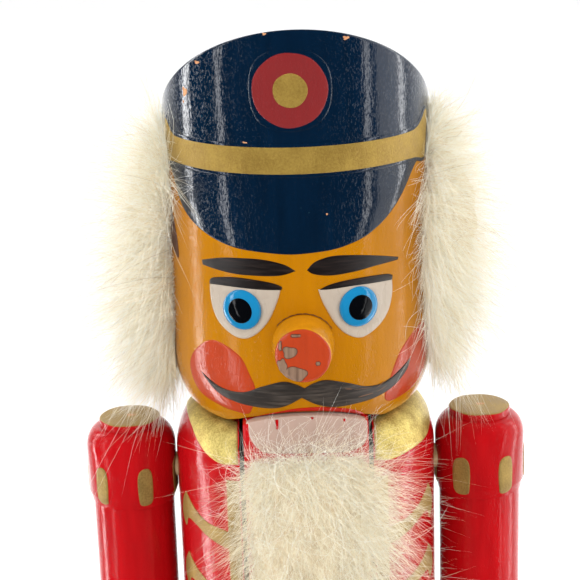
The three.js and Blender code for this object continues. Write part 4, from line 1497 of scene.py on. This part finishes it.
def hair_field(count, rng):
    """Roots and growth of the hair, from ear to ear round the back of the head."""
    front_left, front_right = math.radians(65), math.radians(71)
    turn = rng.uniform(front_left, 2 * math.pi - front_right, count)
    share = rng.uniform(0, 1, count)
    retreat = 0.26 * (2 * share - 1) ** 2  # the glued edge curves back from the face at both ends
    retreat[(turn > math.pi) & (share > 0.5)] *= 0.2
    turn = np.clip(turn, front_left + retreat, 2 * math.pi - front_right - retreat)
    turn += rng.uniform(-0.03, 0.03, count)
    on_left = turn < math.pi
    rim = CAP_TOP - DATUM + HEAD_RADIUS * np.cos(turn) * CAP_SLOPE
    low = np.where(on_left, 15.0, 12.0)
    high = np.minimum(np.where(on_left, 74.0, 71.0), rim - 3)
    height = low + (high - low) * share
    out = np.stack([np.sin(turn), -np.cos(turn), 0 * turn], 1)
    around = np.stack([np.cos(turn), np.sin(turn), 0 * turn], 1)
    roots = out * (HEAD_RADIUS + 0.2) + np.array([0, 0, 1]) * (height + DATUM)[:, None]
    rise = (share - 0.56) * 2.0 + np.clip((share - 0.7) * 3, 0, 0.8) + rng.normal(0, 0.35, count)
    # Near its edges the fur falls forwards over the face: low down on the left, high up on the right.
    edge_left = np.clip(1.1 - (turn - front_left - retreat) / 0.35, 0, 1)
    edge_left *= np.sin(np.pi * np.clip((share - 0.12) / 0.72, 0, 1))
    edge_right = np.clip(1.1 - (2 * math.pi - front_right - retreat - turn) / 0.35, 0, 1)
    edge_right *= np.clip((share - 0.5) / 0.2, 0, 1)
    forward = (edge_left + edge_right) * rng.uniform(0.1, 1, count)
    lean = rng.normal(0, 0.4, count) + np.where(on_left, -1.9, 1.5) * forward
    directions = unit(
        out * (1 - 0.7 * forward)[:, None] + around * lean[:, None] + np.array([0, 0, 1]) * rise[:, None]
    )
    return roots, directions, turn, share


def fur_hair():
    rng = np.random.default_rng(11)
    pieces = 6
    for number in range(1, pieces + 1):
        count = 9000
        roots, directions, turn, share = hair_field(count, rng)
        lengths = 18.5 * rng.uniform(0.45, 1.12, count)
        lengths *= np.clip((turn - math.radians(55)) / 0.5, 0.55, 1)
        lengths[turn > math.pi] *= 1.14
        lengths *= 0.78 + 0.42 * np.sin(np.pi * np.clip(share * 0.85 + 0.05, 0, 1))
        lengths *= 1 - 0.25 * np.clip((share - 0.7) / 0.3, 0, 1) - 0.4 * np.clip(1 - share / 0.14, 0, 1)
        stray = rng.random(count) < 0.02
        lengths[stray] *= rng.uniform(1.1, 1.4, stray.sum())
        clump = np.where(stray, 0.0, rng.uniform(0.3, 0.9, count))
        paths = hair_paths(roots, directions, lengths, 0.24, 0.3, clump, 620, rng)
        radii = np.where(stray, 0.04, rng.uniform(0.03, 0.056, count))
        tone = np.clip(rng.normal(0.9, 0.9, count).round(), 0, 3).astype(int)
        tone[stray & (rng.random(count) < 0.12)] = GUARD_HAIR
        piece = strand_piece(f"hair_strands_{number}", paths, radii, tone, FUR_HAIRS)
        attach(piece, "figure")


def hair_over_face():
    """Single curved hairs that stray from the left ear over the edge of the face."""
    rng = np.random.default_rng(5)
    count = 700
    turn = np.radians(rng.uniform(64, 84, count))
    height = rng.uniform(24, 66, count)
    out = np.stack([np.sin(turn), -np.cos(turn), 0 * turn], 1)
    around = np.stack([np.cos(turn), np.sin(turn), 0 * turn], 1)
    roots = out * (HEAD_RADIUS + 1.5) + np.array([0, 0, 1]) * (height + DATUM)[:, None]
    directions = unit(
        out * rng.uniform(0.1, 0.5, count)[:, None] - around * rng.uniform(0.4, 1.6, count)[:, None]
        + np.array([0, 0, 1]) * rng.normal(-0.15, 0.45, count)[:, None]
    )
    lengths = rng.uniform(5, 20, count)
    paths = curly_paths(roots, directions, lengths, 0.15, (0.05, 0.4), rng)
    reach = np.hypot(paths[..., 0], paths[..., 1])
    paths[..., :2] *= np.maximum(1, (HEAD_RADIUS + 0.8) / reach)[..., None]
    tone = np.clip(rng.normal(0.7, 0.8, count).round(), 0, 3).astype(int)
    piece = strand_piece("hair_over_face", paths, rng.uniform(0.03, 0.045, count), tone, FUR_HAIRS)
    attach(piece, "figure")


def hair_underfur():
    """The thick underfur that the long hairs stand in: a soft roll round the head."""
    columns, rows = 150, 26
    start, end = math.radians(75), 2 * math.pi - math.radians(78)
    points = []
    for layer in (0, 1):
        for i in range(columns + 1):
            turn = start + (end - start) * i / columns
            rim = CAP_TOP - DATUM + HEAD_RADIUS * math.cos(turn) * CAP_SLOPE
            low = 14.0 if turn < math.pi else 11.0
            high = min(71.0, rim - 4)
            fade = min(1, 6 * i / columns, 6 * (columns - i) / columns)
            for j in range(rows + 1):
                share = j / rows
                lumps = 1 + 0.16 * math.sin(turn * 17 + share * 9) * math.sin(share * 21 + turn * 5)
                swell = 14 * math.sqrt(max(0, math.sin(math.pi * share))) * math.sqrt(fade) * lumps
                radius = HEAD_RADIUS + 0.2 + (swell if layer else 0)
                height = low + (high - low) * share
                points.append((radius * math.sin(turn), -radius * math.cos(turn), height + DATUM))
    piece = new_piece("hair_underfur", points, shell_faces(columns, rows), FUR_BACKING, 80)
    face_outwards(piece)
    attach(piece, "figure")
    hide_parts("hair_fur")


def shell_faces(columns, rows):
    """Faces of a closed shell whose inner and outer layers are grids of the same size."""
    per_layer = (columns + 1) * (rows + 1)
    faces = []

    def corner(layer, i, j):
        return layer * per_layer + i * (rows + 1) + j

    for i in range(columns):
        for j in range(rows):
            for layer in (0, 1):
                faces.append((corner(layer, i, j), corner(layer, i + 1, j),
                              corner(layer, i + 1, j + 1), corner(layer, i, j + 1)))
    for i in range(columns):
        for j in (0, rows):
            faces.append((corner(0, i, j), corner(0, i + 1, j), corner(1, i + 1, j), corner(1, i, j)))
    for j in range(rows):
        for i in (0, columns):
            faces.append((corner(0, i, j), corner(0, i, j + 1), corner(1, i, j + 1), corner(1, i, j)))
    return faces


def beard_underfur():
    """The matted fur on the face of the jaw."""
    columns, rows = 40, 40
    points = []
    for layer in (0, 1):
        for i in range(columns + 1):
            across = 2 * i / columns - 1
            for j in range(rows + 1):
                share = j / rows
                s = across * (BEARD_HIGH[0] - 1.5)
                z = BEARD_LOW[2] + 1 + (BEARD_HIGH[2] - 4.5 - BEARD_LOW[2]) * share
                dome = max(0, 1 - across ** 2) ** 0.5 * max(0, math.sin(math.pi * share)) ** 0.5
                lumps = 1 + 0.2 * math.sin(across * 9 + share * 13) * math.sin(share * 17)
                angle = s / JAW_RADIUS
                radius = JAW_RADIUS + 0.1 + (8.5 * dome * lumps if layer else 0)
                points.append((radius * math.sin(angle), -radius * math.cos(angle), z))
    piece = new_piece("beard_underfur", points, shell_faces(columns, rows), FUR_BACKING, 80)
    face_outwards(piece)
    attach(piece, "lever")
    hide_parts("beard_fur")


def beard_growth(count, kind, rng):
    """Roots, directions, lengths and thickness of one kind of hair on the jaw."""
    s = rng.uniform(-1, 1, count)
    low, high = {"wool": (-46, -1), "veil": (-12, 0), "stray": (-38, -4), "curl": (-22, 1)}[kind]
    share = rng.uniform(0, 1, count)
    height = low + (high - low) * share
    if kind == "wool":
        height += 2.0 * (1 - s ** 2) * share ** 4
    angle = s * (JAW_HALF - 1.5) / JAW_RADIUS
    out = np.stack([np.sin(angle), -np.cos(angle), 0 * angle], 1)
    around = np.stack([np.cos(angle), np.sin(angle), 0 * angle], 1)
    lift = {"wool": 0.2, "veil": 2.0, "stray": 6.0, "curl": 6.0}[kind]
    roots = out * (JAW_RADIUS + lift) + np.array([0, 0, 1]) * (height + DATUM)[:, None]
    if kind == "wool":
        spread = np.maximum(s * 0.35 + 0.25 + rng.normal(0, 0.42, count), -0.4)
        drop = -0.55 + rng.normal(0, 0.6, count) + 0.4 * share
        forward = rng.uniform(0.25, 1.1, count)
        lengths, radii = rng.uniform(7, 19, count), rng.uniform(0.024, 0.046, count)
        lengths *= 1 + 0.7 * np.clip(1 - share * 4, 0, 1)
        lengths *= 1 - 0.5 * np.clip(-s, 0, 1) ** 2
    elif kind == "veil":
        spread = rng.normal(0.1, 0.8, count)
        drop = rng.normal(0.6, 0.7, count)
        forward = rng.uniform(0.0, 0.35, count)
        lengths, radii = rng.uniform(5, 18, count), rng.uniform(0.02, 0.034, count)
    elif kind == "curl":
        spread = np.maximum(rng.normal(0.25, 0.6, count), -0.3)
        drop = rng.normal(0.1, 0.6, count)
        forward = rng.uniform(0.0, 0.3, count)
        lengths, radii = rng.uniform(16, 30, count), rng.uniform(0.035, 0.05, count)
    else:
        spread = np.maximum(rng.normal(0.6, 0.7, count), -0.3)
        drop = rng.normal(-0.2, 0.7, count)
        forward = rng.uniform(0.0, 0.35, count)
        lengths, radii = rng.uniform(9, 24, count), rng.uniform(0.04, 0.055, count)
    if kind != "wool":
        lengths *= np.where(s < -0.3, 0.6, 1)
    directions = unit(
        out * forward[:, None] + around * spread[:, None] + np.array([0, 0, 1]) * drop[:, None]
    )
    return roots, directions, lengths, radii


def in_front_of_trunk(paths):
    """Keeps hairs from growing into the jaw, the trunk or the face."""
    reach = np.hypot(paths[..., 0], paths[..., 1])
    out = np.maximum(1, (TORSO_RADIUS + 0.7) / np.maximum(reach, 1e-6))
    kept = paths.copy()
    kept[:, 1:, 0] *= out[:, 1:]
    kept[:, 1:, 1] *= out[:, 1:]
    return kept


def fur_beard():
    """Wool that hangs from the jaw over the chest, a thin veil over the teeth, and stray hairs."""
    rng = np.random.default_rng(23)
    kinds = [("wool", 9000), ("wool", 9000), ("veil", 1100), ("stray", 420), ("curl", 34)]
    for number, (kind, count) in enumerate(kinds, 1):
        roots, directions, lengths, radii = beard_growth(count, kind, rng)
        if kind == "wool":
            clump = rng.uniform(0.0, 0.6, count)
            paths = hair_paths(roots, directions, lengths, 0.3, 0.44, clump, 260, rng)
        else:
            paths = curly_paths(roots, directions, lengths, 0.1, (0.6, 1.5) if kind == "curl" else (0.2, 1.0), rng)
        paths = in_front_of_trunk(paths)
        shades = 1.4 if kind == "wool" else 0.2
        tone = np.clip(rng.normal(shades, 0.8, count).round(), 0, 3).astype(int)
        piece = strand_piece(f"beard_{kind}_{number}", paths, radii, tone, FUR_HAIRS)
        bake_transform(piece)


# ---------------------------------------------------------------- studio

def studio_floor():
    """A pale floor that reflections look through, so that polished paint mirrors the softboxes."""
    size = 6.0
    corners = [(-size, -size, 0), (size, -size, 0), (size, size, 0), (-size, size, 0)]
    mesh = bpy.data.meshes.new("studio_floor")
    mesh.from_pydata(corners, [], [(0, 1, 2, 3)])
    floor = bpy.data.objects.new("studio_floor", mesh)
    bpy.context.scene.collection.objects.link(floor)
    material = bpy.data.materials.new("pale_floor")
    material.use_nodes = True
    nodes, links = material.node_tree.nodes, material.node_tree.links
    surface = nodes["Principled BSDF"]
    surface.inputs["Base Color"].default_value = srgb(252, 252, 252)
    surface.inputs["Emission Color"].default_value = (1, 1, 1, 1)
    surface.inputs["Emission Strength"].default_value = 0.12
    surface.inputs["Roughness"].default_value = 0.9
    clear = nodes.new("ShaderNodeBsdfTransparent")
    rays = nodes.new("ShaderNodeLightPath")
    blend = nodes.new("ShaderNodeMixShader")
    links.new(rays.outputs["Is Glossy Ray"], blend.inputs[0])
    links.new(surface.outputs[0], blend.inputs[1])
    links.new(clear.outputs[0], blend.inputs[2])
    links.new(blend.outputs[0], nodes["Material Output"].inputs["Surface"])
    mesh.materials.append(material)


# Upright softboxes seen in the polish: azimuth from the camera, half width (degrees) and brightness.
SOFTBOXES = [(-109, 4.6, 14.0), (-71, 3.0, 6.0), (67, 3.2, 4.5), (88, 14.0, 1.6), (104, 4.2, 7.0)]

# Pale walls beside the figure, seen in its edges: side, azimuths where they begin and are full, brightness.
PALE_WALLS = [(1, 84, 130, 1.3), (-1, 116, 155, 1.4)]


def studio_world():
    """White light from all round; in reflections, a dark room with upright softboxes.

    The softboxes keep their place round the camera, so the figure shows the same polish from all sides.
    """
    world = bpy.data.worlds.new("studio")
    bpy.context.scene.world = world
    world.use_nodes = True
    world.cycles.sampling_method = "NONE"  # so that polish never mirrors the light meant for matt paint
    nodes, links = world.node_tree.nodes, world.node_tree.links

    def calculate(operation, *values, clamp=False):
        node = nodes.new("ShaderNodeMath")
        node.operation = operation
        node.use_clamp = clamp
        for socket, value in zip(node.inputs, values):
            if isinstance(value, (int, float)):
                socket.default_value = value
            else:
                links.new(value, socket)
        return node.outputs[0]

    def ramp(value, low, high):
        node = nodes.new("ShaderNodeMapRange")
        node.interpolation_type = "SMOOTHSTEP"
        links.new(value, node.inputs["Value"])
        node.inputs["From Min"].default_value = low
        node.inputs["From Max"].default_value = high
        return node.outputs["Result"]

    direction = nodes.new("ShaderNodeSeparateXYZ")
    links.new(nodes.new("ShaderNodeTexCoord").outputs["Camera"], direction.inputs[0])
    right, up, ahead = direction.outputs
    azimuth = calculate("ARCTAN2", right, calculate("MULTIPLY", ahead, -1.0))
    light = calculate("ADD", 0.03, calculate("MULTIPLY", ramp(ahead, 0.35, 0.8), 0.6))
    within = calculate("MULTIPLY", ramp(up, -0.75, -0.55), ramp(calculate("MULTIPLY", up, -1.0), -0.9, -0.7))
    for centre, half_width, brightness in SOFTBOXES:
        away = calculate("ABSOLUTE", calculate("SUBTRACT", azimuth, math.radians(centre)))
        inside = calculate("SUBTRACT", 1.0, ramp(away, math.radians(half_width * 0.7), math.radians(half_width)))
        light = calculate("ADD", light, calculate("MULTIPLY", calculate("MULTIPLY", inside, within), brightness))
    for side, start, end, brightness in PALE_WALLS:
        wall = ramp(calculate("MULTIPLY", azimuth, side), math.radians(start), math.radians(end))
        light = calculate("ADD", light, calculate("MULTIPLY", wall, brightness))
    rays = nodes.new("ShaderNodeLightPath")
    chosen = nodes.new("ShaderNodeMix")
    chosen.data_type = "FLOAT"
    links.new(rays.outputs["Is Glossy Ray"], chosen.inputs["Factor"])
    links.new(calculate("ADD", 0.85, calculate("MULTIPLY", rays.outputs["Is Camera Ray"], 0.4)),
              chosen.inputs["A"])
    links.new(light, chosen.inputs["B"])
    background = nodes["Background"]
    background.inputs["Color"].default_value = (1, 1, 1, 1)
    links.new(chosen.outputs["Result"], background.inputs["Strength"])


def softbox(name, location, size, power, target=(0, 0, 0.22)):
    light = bpy.data.lights.new(name, "AREA")
    light.shape = "RECTANGLE"
    light.size, light.size_y = size
    light.energy = power
    lamp = bpy.data.objects.new(name, light)
    bpy.context.scene.collection.objects.link(lamp)
    lamp.location = location
    aim = Vector(target) - Vector(location)
    lamp.rotation_euler = aim.to_track_quat("-Z", "Y").to_euler()
    lamp.visible_glossy = False
    return lamp


def studio_lights():
    softbox("softbox_left", (-1.1, -0.7, 0.9), (0.5, 1.0), 9)
    softbox("softbox_right", (1.1, -0.6, 0.8), (0.5, 1.0), 7)
    softbox("softbox_top", (0.0, -0.2, 1.6), (1.2, 1.2), 9)


def camera():
    """The photograph's view: from a little above, a touch rolled."""
    data = bpy.data.cameras.new("camera")
    data.sensor_width = 36
    data.lens = 107.94
    data.clip_start = 0.01
    data.clip_end = 50
    viewer = bpy.data.objects.new("camera", data)
    bpy.context.scene.collection.objects.link(viewer)
    tilt = Matrix.Rotation(math.radians(90 - 16.8), 4, "X")
    roll = Matrix.Rotation(math.radians(-1.85), 4, "Z")
    viewer.matrix_world = Matrix.Translation((-0.0026, -0.403, 0.3898)) @ tilt @ roll
    bpy.context.scene.camera = viewer
    bpy.context.scene.view_settings.view_transform = "Standard"


# ---------------------------------------------------------------- build

finish_hidden_nodes()
head_turning()
torso_turning()
jaw_lever()
plinth_board()
nose_plug()
for side_name, side in SIDES.items():
    arm_turning(side_name, side)
    hand_turning(side_name, side)
    leg_turning(side_name, side)
    boot_toe(side_name, side)
painted_cap()
cap_band()
cockade()
brows()
eyes()
cheeks()
moustache()
moustache_scratches()
lip()
teeth()
nose_tip()
nose_glue_line()
paint_chips()
epaulettes()
coat_trim()
belt_buckle()
arm_paint()
hair_underfur()
fur_hair()
hair_over_face()
painted_shade_at_hair_edge()
beard_underfur()
fur_beard()
studio_floor()
studio_world()
studio_lights()
camera()
